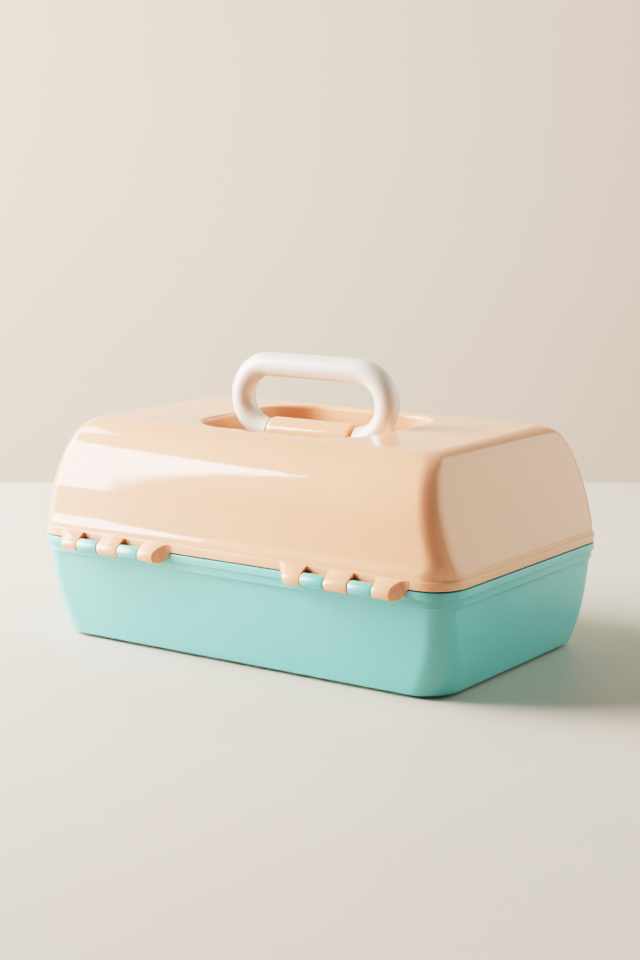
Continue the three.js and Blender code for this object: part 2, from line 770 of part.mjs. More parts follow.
const armShape = withHoles(
  bandOutline([around(basePivot, LINK.margin), around(upperFront, LINK.margin)]),
  [basePivot, lowerFront, upperFront].map((pivot) => around(pivot, LINK.hole)),
);
const bracketShape = withHoles(
  bandOutline([
    around(upperRear, LINK.margin),
    around(lowerRear, LINK.margin),
    ...bracketScrews.map((screw) => around(screw, LINK.margin)),
  ]),
  [
    ...[upperRear, lowerRear].map((pivot) => around(pivot, LINK.hole)),
    ...bracketScrews.map((screw) => around(screw, BOSS.hole + 0.1)),
  ],
);

// A rivet through a tray's ear and an arm or bracket, with a head at each end.
function rivet(side, [y, z]) {
  const inner = LAYER.earIn - 0.3;
  const outer = LAYER.armOut + 0.3;
  const thick = LINK.headThickness;
  const profile = [
    [inner - thick, 0], [inner - thick, LINK.head - 0.5], [inner, LINK.head], [inner, LINK.rivet],
    [outer, LINK.rivet], [outer, LINK.head], [outer + thick, LINK.head - 0.5], [outer + thick, 0],
  ];
  return sideTurned(profile, side, y, z);
}

// A screw with its head on the inner face of a layer that starts at seat, driven outwards to the tip.
function outwardScrew(side, [y, z], seat, shoulder, shoulderEnd, tip) {
  const profile = [
    [seat - 1.8, 0], [seat - 1.8, 2.6], [seat - 0.3, 3.6], [seat - 0.3, shoulder],
    [shoulderEnd, shoulder], [shoulderEnd, BOSS.screw], [tip - 0.8, BOSS.screw], [tip, 0],
  ];
  return sideTurned(profile, side, y, z);
}

for (const [name, side] of SIDES) {
  addPiece(`tray_arm_${name}`, sidePrism(armShape, side, LAYER.armIn, LAYER.armOut), white);
  addPiece(`lid_bracket_${name}`, sidePrism(bracketShape, side, LAYER.armIn, LAYER.armOut), white);
  const shoulderEnd = LAYER.armOut + 0.1;
  const pivotScrew = outwardScrew(side, basePivot, LAYER.armIn, LINK.rivet, shoulderEnd, BOSS.screwTip);
  addPiece(`arm_pivot_${name}`, pivotScrew, steel);
  bracketScrews.forEach((screw, place) => {
    const geometry = outwardScrew(side, screw, LAYER.armIn, BOSS.screw, LAYER.armOut, BOSS.screwTip);
    addPiece(`bracket_screw_${name}_${place + 1}`, geometry, steel);
  });
  addPiece(`upper_rivet_front_${name}`, rivet(side, upperFront), steel);
  addPiece(`upper_rivet_rear_${name}`, rivet(side, upperRear), steel);
  addPiece(`lower_rivet_front_${name}`, rivet(side, lowerFront), steel);
  addPiece(`lower_rivet_rear_${name}`, rivet(side, lowerRear), steel);
}

// ---------------------------------------------------------------- trays

const TRAY_DRAFT = 1.6; // the walls lean in this much from lip to floor
const TRAY_ROUND = 2; // at the floor
const TRAY_LIP = 3; // height of the lip around the top

function trayShell({ halfX, back, front, bottom, top, corner, wall }) {
  const middleY = (back + front) / 2;
  const halfY = (back - front) / 2;
  const at = (z, inset) => ring(z, halfX - inset, halfY - inset, corner - inset, middleY);
  const floor = bottom + wall;
  return loft([
    at(bottom, TRAY_DRAFT + TRAY_ROUND), at(bottom + TRAY_ROUND, TRAY_DRAFT),
    at(top - TRAY_LIP, 1), at(top - TRAY_LIP + 0.4, 0), at(top - 0.4, 0), at(top, 0.4),
    at(top, wall + 0.6), at(top - 0.6, wall + 1),
    at(floor + TRAY_ROUND, TRAY_DRAFT + wall), at(floor, TRAY_DRAFT + wall + TRAY_ROUND),
  ]);
}

// An ear hung on each end of a tray: a plate around the pivot, tied to the end wall by a pad.
function trayEars(pivot, pads) {
  const parts = [];
  const plate = bandOutline([around(pivot, LINK.margin), ...pads]);
  const pad = bandOutline(pads);
  for (const [, side] of SIDES) {
    parts.push(sidePrism(plate, side, LAYER.earIn, LAYER.earOut));
    parts.push(sidePrism(pad, side, LAYER.tray - 2.4, LAYER.earIn + 0.5));
  }
  return parts;
}

function earHoles(pivot) {
  const { earIn, earOut } = LAYER;
  return SIDES.map(([, side]) => sideRod(LINK.rivet + 0.3, side, earIn - 1, earOut + 1, ...pivot));
}

// Dividers stand on the tray's floor and stop below its rim.
function divider(tray, [fromX, toX], [fromY, toY]) {
  return block(fromX, toX, fromY, toY, tray.bottom + 1, tray.top - 3);
}

const upperRowY = -6; // divider between the upper tray's two rows
const thin = 1.8;
const insideX = LAYER.tray - UPPER_TRAY.wall;
const upperDividers = [divider(UPPER_TRAY, [-insideX, insideX], [upperRowY, upperRowY + thin])];
for (const x of [-insideX / 3, insideX / 3]) {
  const rowBack = [upperRowY, UPPER_TRAY.back - UPPER_TRAY.wall];
  upperDividers.push(divider(UPPER_TRAY, [x - thin / 2, x + thin / 2], rowBack));
}
const rowFront = [UPPER_TRAY.front + UPPER_TRAY.wall, upperRowY];
upperDividers.push(divider(UPPER_TRAY, [-thin / 2, thin / 2], rowFront));
const lowerDividers = [];
for (const x of [-insideX / 3, insideX / 3]) {
  const depth = [LOWER_TRAY.front + LOWER_TRAY.wall, LOWER_TRAY.back - LOWER_TRAY.wall];
  lowerDividers.push(divider(LOWER_TRAY, [x - thin / 2, x + thin / 2], depth));
}

const padRadius = 4;
const upperPadZ = UPPER_TRAY.bottom + 13;
const lowerPadZ = LOWER_TRAY.bottom + 10;
const padsUnder = ([y]) => [[y - 4, upperPadZ, padRadius], [y + 4, upperPadZ, padRadius]];
const padsOver = ([y]) => [[y - 4, lowerPadZ, padRadius], [y + 4, lowerPadZ, padRadius]];
const rearPads = [
  [LOWER_TRAY.back - 22, lowerPadZ, padRadius],
  [LOWER_TRAY.back - 12, lowerPadZ + 3, padRadius],
];

addPiece('upper_tray', build(trayShell(UPPER_TRAY), {
  join: [
    ...upperDividers,
    ...trayEars(upperFront, padsUnder(upperFront)),
    ...trayEars(upperRear, padsUnder(upperRear)),
  ],
  cut: [...earHoles(upperFront), ...earHoles(upperRear)],
}), trayWhite);
addPiece('lower_tray', build(trayShell(LOWER_TRAY), {
  join: [
    ...lowerDividers,
    ...trayEars(lowerFront, padsOver(lowerFront)),
    ...trayEars(lowerRear, rearPads),
  ],
  cut: [...earHoles(lowerFront), ...earHoles(lowerRear)],
}), trayWhite);

export default box;
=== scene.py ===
"""Looks of the sewing box with trays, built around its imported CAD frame.

The shapes are worked out in millimetres, and make() scales them to Blender's metres. The stage is in metres.
+X runs along the box, +Y is the hinge side, and the origin is the centre of the underside.
"""

import math

import bmesh
import bpy
import numpy as np
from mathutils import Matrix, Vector


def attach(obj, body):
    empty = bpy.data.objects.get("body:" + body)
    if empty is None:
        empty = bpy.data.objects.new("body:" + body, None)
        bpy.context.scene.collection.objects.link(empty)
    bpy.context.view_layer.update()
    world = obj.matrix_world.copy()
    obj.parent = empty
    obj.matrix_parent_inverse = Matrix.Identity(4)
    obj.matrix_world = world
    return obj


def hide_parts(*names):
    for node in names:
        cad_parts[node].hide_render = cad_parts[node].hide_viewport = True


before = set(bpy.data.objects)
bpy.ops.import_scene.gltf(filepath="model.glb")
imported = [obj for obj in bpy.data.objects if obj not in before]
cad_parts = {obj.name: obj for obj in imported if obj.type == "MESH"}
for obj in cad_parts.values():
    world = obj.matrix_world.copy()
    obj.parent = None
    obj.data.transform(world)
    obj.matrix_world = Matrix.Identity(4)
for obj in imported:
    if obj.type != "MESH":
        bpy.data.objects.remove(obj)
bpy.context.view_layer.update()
scene = bpy.context.scene
MM = 0.001

# ---------------- driving dimensions, in millimetres

# outline, rim and walls
HALF_LENGTH = 165.0
HALF_WIDTH = 103.2
RIM_CORNER = 24.0
PARTING_Z = 70.5
PARTING_GAP = 0.45
WALL = 2.6
UNDER_CAP, FLOOR_CAP = 6.0, 8.0

# angles in degrees from which an edge is shaded sharp
SHELL_SMOOTH = 28.0
FITTING_SMOOTH = 30.0
LINK_SMOOTH = 32.0
STEEL_SMOOTH = 35.0
HANDLE_SMOOTH = 40.0

# base
BASE_RIM_DROP = 11.0
BASE_LIP_DROP = 5.5
BASE_BAND_INSET = 1.5
BASE_WALL_INSET = 4.4
BASE_CORNER_HIGH = 15.0
BASE_CORNER_LOW = 24.0
BASE_END_DRAFT = 0.04
BASE_SIDE_DRAFT = 0.11
BASE_ROUND_HEIGHT = 44.0
BASE_END_ROUND = 7.6
BASE_SIDE_ROUND = 2.0
BASE_FOOT_HEIGHT = 1.5
BASE_FOOT_INSET = 1.5
BASE_PLINTH_HEIGHT = 1.8
BASE_PLINTH_INSET = 6.0
BASE_FLOOR = 4.0
BASE_INNER_HEIGHTS = (52.0, BASE_ROUND_HEIGHT, 38.0, 32.0, 27.0, 22.0, 17.0, 13.0, 10.0)
TONGUE_INSET = 3.4
TONGUE_WIDTH = 1.5
TONGUE_HEIGHT = 2.3

# lid
LID_TOP = 149.0
LID_LIP_HEIGHT = 5.8
LID_BAND_HEIGHT = 9.3
LID_BAND_INSET = 1.2
LID_WALL_Z = 84.0
LID_WALL_INSET = 3.3
LID_CORNER_LOW = 16.0
LID_CORNER_HIGH = 10.0
LID_END_DRAFT = 0.31
LID_END_ROUND = 14.6
LID_SHOULDER_Z = 98.0
LID_SHOULDER_INSET = 33.2
LID_RIM_WALL = 2.8
LID_BAND_WALL = 2.9
LID_INNER_LEAD = 1.0
LID_INNER_TOP = 146.8
LID_INNER_HEIGHTS = (145.4, 144, 142, 140, 137, 134, 130, 125, 119, 113, 106, 98, LID_WALL_Z + 3)

# the handle's recess in the lid
RECESS_X = 68.0
RECESS_Y = 61.0
RECESS_CORNER = 37.0
RECESS_LIP = 3.0
RECESS_DRAFT = 1.2
RECESS_FLOOR = 129.5
RECESS_FLOOR_ROUND = 2.5

# hinges
HINGE_Y = 108.2
HINGE_Z = 68.4
HINGE_CENTRE_X = 90.8
HINGE_RADIUS = 4.5
HINGE_BORE = 2.0
HINGE_GAP = 0.8
HINGE_LENGTHS = [12.5, 16.5, 17.0, 16.5, 12.5]
HINGE_BLIND_END = 3.5
HINGE_NOTCH = 2.7
HINGE_NOTCH_DEPTH = 2.0
HINGE_NOTCH_REACH = 4.6
HINGE_NOTCH_RISE = 0.3
HINGE_FLARE = 8.0
HINGE_FLARE_RADIUS = 9.3
HINGE_PIN = 1.6
PIN_END_GAP = 0.6
KNUCKLE_ROOT = 1.6
KNUCKLE_STEPS = 36
BASE_BARREL = (-1.75, math.pi + 0.1)
LID_BARREL = (2.94, 1.0 + 2 * math.pi)
FLARE_BELOW, FLARE_ABOVE = 9.0, 13.5

# handle and clamp
HANDLE_Y = 4.0
HANDLE_Z = 139.8
HANDLE_TUBE = 8.2
HANDLE_RISE = 45.2
HANDLE_STRAIGHT = 35.7
HANDLE_BEND_STEPS = 48
HANDLE_TOP_STEPS = 12
HANDLE_END_GAP = 0.6
HANDLE_SPINDLE = 6.0
HANDLE_SPINDLE_REACH = 3.6

CLAMP_HALF = 34.4
CLAMP_RADIUS = 9.7
CLAMP_END_ROUND = 4.4
CLAMP_END_RADIUS = 7.4
CLAMP_END_STEPS = 12
CLAMP_BORE = 6.4
CLAMP_FOOT_HALF = 17.5
CLAMP_FOOT_TOP = 135.6
CLAMP_FOOT_Z = RECESS_FLOOR + 0.3
CLAMP_FLAT = CLAMP_HALF - CLAMP_END_ROUND

# latch and its keeper
LATCH_Y = -108.2
LATCH_Z = 79.5
LATCH_RADIUS = 4.5
LATCH_BORE = 2.0
LATCH_HALF = 21.0
LATCH_PLATE = 2.6
LATCH_BOTTOM = 53.5
LATCH_LUG = 6.0
LATCH_GAP = 0.5
LATCH_PIN = 1.6
LUG_BLIND_END = 1.2
LUG_ROOT = 3.5
KEEPER_HALF = LATCH_HALF - 3.0
KEEPER_REACH = 3.9
KEEPER_ROOT = 2.0
KEEPER_TOP = 66.0
KEEPER_NOSE = (62.8, 61.0)
KEEPER_UNDER = 60.0
KEEPER_FOOT = 59.5

# arms, brackets, rivets and screws
LINK_LENGTH = 72.0
LINK_DIP = math.radians(12.0)
LINK_BASE = (-6.0, 60.0)
LINK_MARGIN = 5.6
LINK_HOLE = 2.5
RIVET_RADIUS = 2.0
RIVET_HEAD = 3.6
RIVET_HEAD_THICK = 1.2
RIVET_END_GAP = 0.3
EAR_HOLE = RIVET_RADIUS + 0.3
BRACKET_SCREWS = [(50.0, 90.0), (74.0, 90.0)]
BRACKET_SCREW_HOLE = 1.7
SCREW = 1.3
SCREW_ROOT = SCREW - 0.25
SCREW_PITCH = 0.8
SCREW_POINT = 0.8
SCREW_HEAD_SINK = 0.3
SCREW_HEAD_THICK = 1.5
BOSS_FACE = 148.9
BOSS_HOLE = 1.6
BOSS_HOLE_END = 156.0
BOSS_SCREW_TIP = 155.5
ARM_BOSS, ARM_BOSS_END = 6.0, 159.0
BRACKET_BOSS, BRACKET_BOSS_END = 4.0, 158.2
CROSS_HALF, CROSS_SLOT, CROSS_DEPTH = 1.7, 0.35, 0.9
CLAMP_SCREW_X = 24.0
CLAMP_SCREW_Y = 13.6
CLAMP_SCREW_LENGTH = 9.0
CLAMP_SCREW_HEAD = 3.2
CLAMP_SCREW_HEAD_THICK = 2.0
CLAMP_SCREW_SHOULDER = 3.0

# trays, and where their ears and the links stand along X
EAR_IN, EAR_OUT = 143.0, 145.5
ARM_IN, ARM_OUT = 146.0, 148.5
TRAY_HALF = 141.0
TRAY_WALL = 2.0
TRAY_CORNER = 12.0
TRAY_DRAFT = 1.6
TRAY_LIP = 3.0
PAD_RADIUS = 4.0
UPPER_TRAY = {"back": 84.0, "front": -86.0, "bottom": 58.0, "top": 94.0}
LOWER_TRAY = {"back": 64.0, "front": -86.0, "bottom": 30.0, "top": 54.0}
DIVIDER = 1.8
DIVIDER_ROW_Y = -6.0
DIVIDER_END_INSET = 0.4

# how far a cutter runs past what it cuts
OVERRUN = 1.0


# ---------------- materials

PLASTIC_IOR = 1.49
SCATTER_DEPTH = 0.006
WARM_SCATTER = (1.0, 0.45, 0.25)
EVEN_SCATTER = (1.0, 0.95, 0.85)


def linear(srgb):
    """Linear colour from a 0-255 sRGB triple."""
    out = []
    for value in srgb:
        v = value / 255.0
        out.append(v / 12.92 if v <= 0.04045 else ((v + 0.055) / 1.055) ** 2.4)
    return (*out, 1.0)


def new_material(name):
    """A material with its node tree, its shader and its object coordinates."""
    material = bpy.data.materials.new(name)
    material.use_nodes = True
    tree = material.node_tree
    return material, tree, tree.nodes["Principled BSDF"], tree.nodes.new("ShaderNodeTexCoord")


def set_inputs(node, **values):
    """Sets inputs by name, with underscores for the spaces."""
    for name, value in values.items():
        node.inputs[name.replace("_", " ")].default_value = value


def noise(tree, place, scale, detail):
    """Noise over the object's coordinates."""
    node = tree.nodes.new("ShaderNodeTexNoise")
    set_inputs(node, Scale=scale, Detail=detail)
    tree.links.new(place.outputs["Object"], node.inputs["Vector"])
    return node


def drift_of_tone(tree, shader, factor, dark, light, low=0.0, high=1.0):
    """Links the base colour to a ramp between two sRGB colours."""
    ramp = tree.nodes.new("ShaderNodeValToRGB")
    for element, position, colour in zip(ramp.color_ramp.elements, (low, high), (dark, light)):
        element.position = position
        element.color = linear(colour)
    tree.links.new(factor.outputs["Fac"], ramp.inputs["Fac"])
    tree.links.new(ramp.outputs["Color"], shader.inputs["Base Color"])


def uneven_polish(tree, shader, factor, low, high):
    """Links the roughness to a factor, between two values."""
    spread = tree.nodes.new("ShaderNodeMapRange")
    set_inputs(spread, To_Min=low, To_Max=high)
    tree.links.new(factor.outputs["Fac"], spread.inputs["Value"])
    tree.links.new(spread.outputs["Result"], shader.inputs["Roughness"])


def bump(tree, height, strength, distance, under=None):
    """A bump over a height, laid on top of another bump if one is given."""
    node = tree.nodes.new("ShaderNodeBump")
    set_inputs(node, Strength=strength, Distance=distance)
    tree.links.new(height.outputs["Fac"], node.inputs["Height"])
    if under:
        tree.links.new(under.outputs["Normal"], node.inputs["Normal"])
    return node


def moulded_plastic(name, light, dark, coat_roughness, haze, waves, grain, subsurface, scatter):
    """Injection-moulded plastic: a polished skin over a hazier body, with a faint drift of tone, uneven
    polish, slow sink waves and a fine grain. Values that don't vary are set on the shader itself."""
    material, tree, shader, place = new_material(name)
    set_inputs(
        shader, IOR=PLASTIC_IOR, Coat_IOR=PLASTIC_IOR, Coat_Weight=1.0, Coat_Roughness=coat_roughness,
        Specular_IOR_Level=haze, Subsurface_Weight=subsurface, Subsurface_Radius=scatter,
        Subsurface_Scale=SCATTER_DEPTH,
    )
    drift_of_tone(tree, shader, noise(tree, place, 9.0, 3.0), dark, light, 0.3, 0.7)
    uneven_polish(tree, shader, noise(tree, place, 60.0, 2.0), 0.38, 0.52)
    slow = bump(tree, noise(tree, place, 32.0, 2.5), waves, 0.0016)
    fine = bump(tree, noise(tree, place, 1500.0, 2.0), grain, 0.00012, slow)
    tree.links.new(fine.outputs["Normal"], shader.inputs["Normal"])
    tree.links.new(fine.outputs["Normal"], shader.inputs["Coat Normal"])
    return material


def brushed_steel(name):
    """Plain bright steel with a fine, uneven grain."""
    material, tree, shader, place = new_material(name)
    set_inputs(shader, Metallic=1.0)
    grain = noise(tree, place, 900.0, 3.0)
    drift_of_tone(tree, shader, grain, (150, 152, 156), (206, 208, 210))
    uneven_polish(tree, shader, grain, 0.22, 0.38)
    return material


def painted(name, light, dark, roughness):
    """A matt painted surface with a slow drift of tone and a fine tooth."""
    material, tree, shader, place = new_material(name)
    set_inputs(shader, Roughness=roughness)
    drift_of_tone(tree, shader, noise(tree, place, 1.5, 3.0), dark, light, 0.25, 0.75)
    tooth = bump(tree, noise(tree, place, 160.0, 4.0), 0.06, 0.0006)
    tree.links.new(tooth.outputs["Normal"], shader.inputs["Normal"])
    return material


PEACH = moulded_plastic(
    "peach_plastic", (253, 176, 142), (252, 172, 138), coat_roughness=0.03, haze=0.12, waves=0.07, grain=0.12,
    subsurface=0.40, scatter=WARM_SCATTER,
)
MINT = moulded_plastic(
    "mint_plastic", (106, 191, 187), (102, 187, 184), coat_roughness=0.18, haze=0.35, waves=0.06, grain=0.2,
    subsurface=0.2, scatter=EVEN_SCATTER,
)
WHITE = moulded_plastic(
    "white_plastic", (223, 223, 213), (221, 220, 210), coat_roughness=0.16, haze=0.3, waves=0.05, grain=0.3,
    subsurface=0.15, scatter=EVEN_SCATTER,
)
TRAY = moulded_plastic(
    "tray_plastic", (222, 219, 211), (217, 215, 206), coat_roughness=0.30, haze=0.3, waves=0.06, grain=0.5,
    subsurface=0.10, scatter=EVEN_SCATTER,
)
STEEL = brushed_steel("steel")


# ---------------- section helpers

LEAST_CORNER = 0.6
SIDE_STEPS = 6
ROUND_SHARE = 0.48
WELD = 1e-7
TIP_RADIUS = 1e-4


def circle(radius, segments):
    """Points on a circle around nought."""
    angles = [2 * math.pi * k / segments for k in range(segments)]
    return [(radius * math.cos(angle), radius * math.sin(angle)) for angle in angles]


def ring(z, half_x, half_y, radius, centre_y=0.0, steps=14):
    """A rounded rectangle at height z, with points along its straight sides too."""
    corner = max(radius, LEAST_CORNER)

    def at(quarter, turn):
        sign_x = 1 if quarter % 4 in (0, 3) else -1
        sign_y = 1 if quarter % 4 < 2 else -1
        angle = (quarter + turn) * math.pi / 2
        x = sign_x * (half_x - corner) + corner * math.cos(angle)
        y = sign_y * (half_y - corner) + corner * math.sin(angle)
        return np.array((x, centre_y + y, z))

    points = []
    for quarter in range(4):
        points += [at(quarter, step / steps) for step in range(steps + 1)]
        start, end = points[-1], at(quarter + 1, 0)
        points += [start + (end - start) * step / SIDE_STEPS for step in range(1, SIDE_STEPS)]
    return np.array(points)


def soften(rows, steps=4):
    """Rounds a row of rings off at each ring that carries a radius. The rows are (ring, radius), and a
    rounding takes at most ROUND_SHARE of the way to the next ring."""
    out = []
    for place, (points, radius) in enumerate(rows):
        if radius <= 0 or place in (0, len(rows) - 1):
            out.append(points)
            continue
        before = rows[place - 1][0] - points
        after = rows[place + 1][0] - points
        length_before = np.linalg.norm(before, axis=1, keepdims=True)
        length_after = np.linalg.norm(after, axis=1, keepdims=True)
        reach_before = np.minimum(radius, ROUND_SHARE * length_before)
        reach_after = np.minimum(radius, ROUND_SHARE * length_after)
        a = points + before / np.maximum(length_before, 1e-9) * reach_before
        b = points + after / np.maximum(length_after, 1e-9) * reach_after
        for step in range(steps + 1):
            t = step / steps
            out.append((1 - t) ** 2 * a + 2 * t * (1 - t) * points + t ** 2 * b)
    return out


def loft(rings):
    """A closed skin through a row of rings, as vertices and faces, with one flat face over each end."""
    count = len(rings[0])
    vertices = [tuple(p) for points in rings for p in points]
    faces = []
    for row in range(len(rings) - 1):
        for column in range(count):
            a = row * count + column
            b = row * count + (column + 1) % count
            faces.append((a, b, b + count, a + count))
    faces.append(tuple(reversed(range(count))))
    last = (len(rings) - 1) * count
    faces.append(tuple(last + k for k in range(count)))
    return vertices, faces


def make(name, vertices, faces, material, smooth=FITTING_SMOOTH):
    """A mesh object from millimetre vertices, smooth up to an angle."""
    mesh = bpy.data.meshes.new(name)
    mesh.from_pydata([tuple(c * MM for c in v) for v in vertices], [], faces)
    mesh.validate()
    mesh.materials.append(material)
    piece = bpy.data.objects.new(name, mesh)
    scene.collection.objects.link(piece)
    shade(piece, smooth)
    return piece


def hand_over(piece, body, node):
    """The body that the piece rides and the CAD node that it replaces."""
    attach(piece, body)
    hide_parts(node)


def shade(piece, angle):
    """Welds doubled points, turns the faces outwards and shades them smoothly, with sharp edges where two
    faces meet at more than the angle."""
    work = bmesh.new()
    work.from_mesh(piece.data)
    bmesh.ops.remove_doubles(work, verts=work.verts, dist=WELD)
    bmesh.ops.recalc_face_normals(work, faces=work.faces)
    work.normal_update()
    limit = math.radians(angle)
    for face in work.faces:
        face.smooth = True
    for edge in work.edges:
        edge.smooth = len(edge.link_faces) != 2 or edge.calc_face_angle(0.0) < limit
    work.to_mesh(piece.data)
    work.free()


def apply_modifiers(piece):
    """Bakes the piece's modifiers into its mesh."""
    graph = bpy.context.evaluated_depsgraph_get()
    mesh = bpy.data.meshes.new_from_object(piece.evaluated_get(graph))
    old = piece.data
    piece.modifiers.clear()
    piece.data = mesh
    bpy.data.meshes.remove(old)


def combine(piece, others, operation):
    """Joins to, or cuts from, the piece every other object, and removes them."""
    for other in others:
        modifier = piece.modifiers.new("combine", "BOOLEAN")
        modifier.operation = operation
        modifier.solver = "EXACT"
        modifier.object = other
        apply_modifiers(piece)
        bpy.data.objects.remove(other)


def bevel(piece, width, segments=3, angle=50.0):
    """Rounds the edges where two faces meet at more than the angle."""
    modifier = piece.modifiers.new("bevel", "BEVEL")
    modifier.width = width * MM
    modifier.segments = segments
    modifier.limit_method = "ANGLE"
    modifier.angle_limit = math.radians(angle)
    modifier.use_clamp_overlap = True
    modifier.miter_outer = "MITER_ARC"
    apply_modifiers(piece)


def prism_x(outline, from_x, to_x):
    """Vertices and faces of a prism along X, from (y, z) points."""
    return loft([[(x, y, z) for y, z in outline] for x in (from_x, to_x)])


def arc(y, z, radius, start, end, steps):
    """Points along a circle, from one angle to another."""
    angles = [start + (end - start) * k / steps for k in range(steps + 1)]
    return [(y + radius * math.cos(angle), z + radius * math.sin(angle)) for angle in angles]


def rod(radius, start, end, segments=32):
    """Vertices and faces of a plain rod between two points."""
    start, end = Vector(start), Vector(end)
    turn = (end - start).to_track_quat("Z", "Y")
    offsets = [turn @ Vector((a, b, 0)) for a, b in circle(radius, segments)]
    return loft([[tuple(centre + offset) for offset in offsets] for centre in (start, end)])


def turned_x(profile, centre_y, centre_z, segments=64):
    """Vertices and faces of a piece turned about X, from (x, radius) pairs."""
    return loft([
        [(x, centre_y + a, centre_z + b) for a, b in circle(max(radius, TIP_RADIUS), segments)]
        for x, radius in profile
    ])


def rectangle(front, back, low, high):
    """The (y, z) corners of a rectangle."""
    return [(front, low), (back, low), (back, high), (front, high)]


def tool(name, vertices, faces):
    """A scratch object for a join or a cut."""
    return make(name, vertices, faces, PEACH)


def rod_x(name, radius, from_x, to_x, y, z, segments=32):
    """A scratch rod along X, for a join or a cut."""
    return tool(name, *rod(radius, (from_x, y, z), (to_x, y, z), segments))


# ---------------- base

def turn_in(t):
    """How far a unit quarter round has come in, at a share of its height."""
    return 1 - math.sqrt(max(0.0, 1 - t * t))


def quarter_angles(steps):
    """The angles of a quarter turn, both ends included."""
    return [math.pi / 2 * step / steps for step in range(steps + 1)]


def base_ring(z, extra=0.0):
    """The base's wall at a height. Its foot's rounding is left out where an extra inset is asked for."""
    drop = PARTING_Z - BASE_RIM_DROP - z
    depth = max(drop, 0.0) / (PARTING_Z - BASE_RIM_DROP)
    bend = turn_in(max(0.0, 1 - z / BASE_ROUND_HEIGHT))
    above_foot = min((z - BASE_PLINTH_HEIGHT) / BASE_FOOT_HEIGHT, 1.0)
    foot = 0.0 if extra else BASE_FOOT_INSET * turn_in(1 - above_foot)
    inset_x = BASE_WALL_INSET + BASE_END_DRAFT * drop + BASE_END_ROUND * bend + foot + extra
    inset_y = BASE_WALL_INSET + BASE_SIDE_DRAFT * drop + BASE_SIDE_ROUND * bend + foot + extra
    corner = BASE_CORNER_HIGH + (BASE_CORNER_LOW - BASE_CORNER_HIGH) * depth ** 1.6
    return ring(z, HALF_LENGTH - inset_x, HALF_WIDTH - inset_y, corner - extra)


def rim_ring(z, inset):
    """The rim that both halves share."""
    return ring(z, HALF_LENGTH - inset, HALF_WIDTH - inset, RIM_CORNER - inset)


def base_shell():
    """The base from the middle of its underside, up the outside, over the rim and down to its floor."""
    top = PARTING_Z - PARTING_GAP
    rim_foot = PARTING_Z - BASE_RIM_DROP
    lip_foot = PARTING_Z - BASE_LIP_DROP
    tongue_in = TONGUE_INSET + TONGUE_WIDTH
    rows = [
        (base_ring(0.0, BASE_PLINTH_INSET + UNDER_CAP), 0),
        (base_ring(0.0, BASE_PLINTH_INSET), 0.5),
        (base_ring(BASE_PLINTH_HEIGHT, BASE_PLINTH_INSET), 0.5),
    ]
    for angle in quarter_angles(6)[:-1]:
        rows.append((base_ring(BASE_PLINTH_HEIGHT + BASE_FOOT_HEIGHT * (1 - math.cos(angle))), 0))
    round_foot = BASE_PLINTH_HEIGHT + BASE_FOOT_HEIGHT
    steps = 20
    for step in range(steps + 1):
        rise = (step / steps) ** 1.5
        rows.append((base_ring(round_foot + (BASE_ROUND_HEIGHT - round_foot) * rise), 0))
    rows += [
        (base_ring(rim_foot - 3.0), 0),
        (base_ring(rim_foot), 1.4),
        (rim_ring(rim_foot, BASE_BAND_INSET), 0.8),
        (rim_ring(lip_foot, BASE_BAND_INSET), 0.5),
        (rim_ring(lip_foot, 0.0), 0.6),
        (rim_ring(top, 0.0), 0.5),
        (rim_ring(top, TONGUE_INSET), 0.3),
        (rim_ring(PARTING_Z + TONGUE_HEIGHT, TONGUE_INSET), 0.4),
        (rim_ring(PARTING_Z + TONGUE_HEIGHT, tongue_in), 0.4),
        (rim_ring(rim_foot + 0.5, tongue_in), 1.0),
        (base_ring(rim_foot - 2.5, WALL), 0),
    ]
    rows += [(base_ring(z, WALL), 0) for z in BASE_INNER_HEIGHTS]
    rows += [
        (base_ring(BASE_FLOOR + 4, WALL), 0),
        (base_ring(BASE_FLOOR, WALL + 0.8), 3.0),
        (base_ring(BASE_FLOOR, WALL + FLOOR_CAP), 0),
    ]
    return loft(soften(rows))


def knuckle_spans(centre_x):
    """Each knuckle of a hinge from one end to the other, with the body that it belongs to."""
    total = sum(HINGE_LENGTHS) + HINGE_GAP * (len(HINGE_LENGTHS) - 1)
    x = centre_x - total / 2
    spans = []
    for place, length in enumerate(HINGE_LENGTHS):
        spans.append((x, x + length, "lid" if place % 2 == 0 else "base"))
        x += length + HINGE_GAP
    return spans


def base_knuckle_outline():
    """A barrel whose web runs under the base's lip."""
    rim_y = HALF_WIDTH - KNUCKLE_ROOT
    foot = PARTING_Z - BASE_LIP_DROP - 0.6
    outline = [(rim_y, PARTING_Z - PARTING_GAP - 0.6), (rim_y, foot), (HALF_WIDTH + 0.4, foot)]
    return outline + arc(HINGE_Y, HINGE_Z, HINGE_RADIUS, *BASE_BARREL, KNUCKLE_STEPS)


def lid_knuckle_outline():
    """A barrel whose web runs up the lid's lip."""
    rim_y = HALF_WIDTH - KNUCKLE_ROOT
    web_top = PARTING_Z + LID_LIP_HEIGHT
    web_foot = PARTING_Z + PARTING_GAP + 0.4
    outline = [(rim_y, web_top), (rim_y, web_foot), (HALF_WIDTH + 0.2, web_foot)]
    outline += arc(HINGE_Y, HINGE_Z, HINGE_RADIUS, *LID_BARREL, KNUCKLE_STEPS)
    outline.append((HALF_WIDTH + 1, web_top))
    return outline


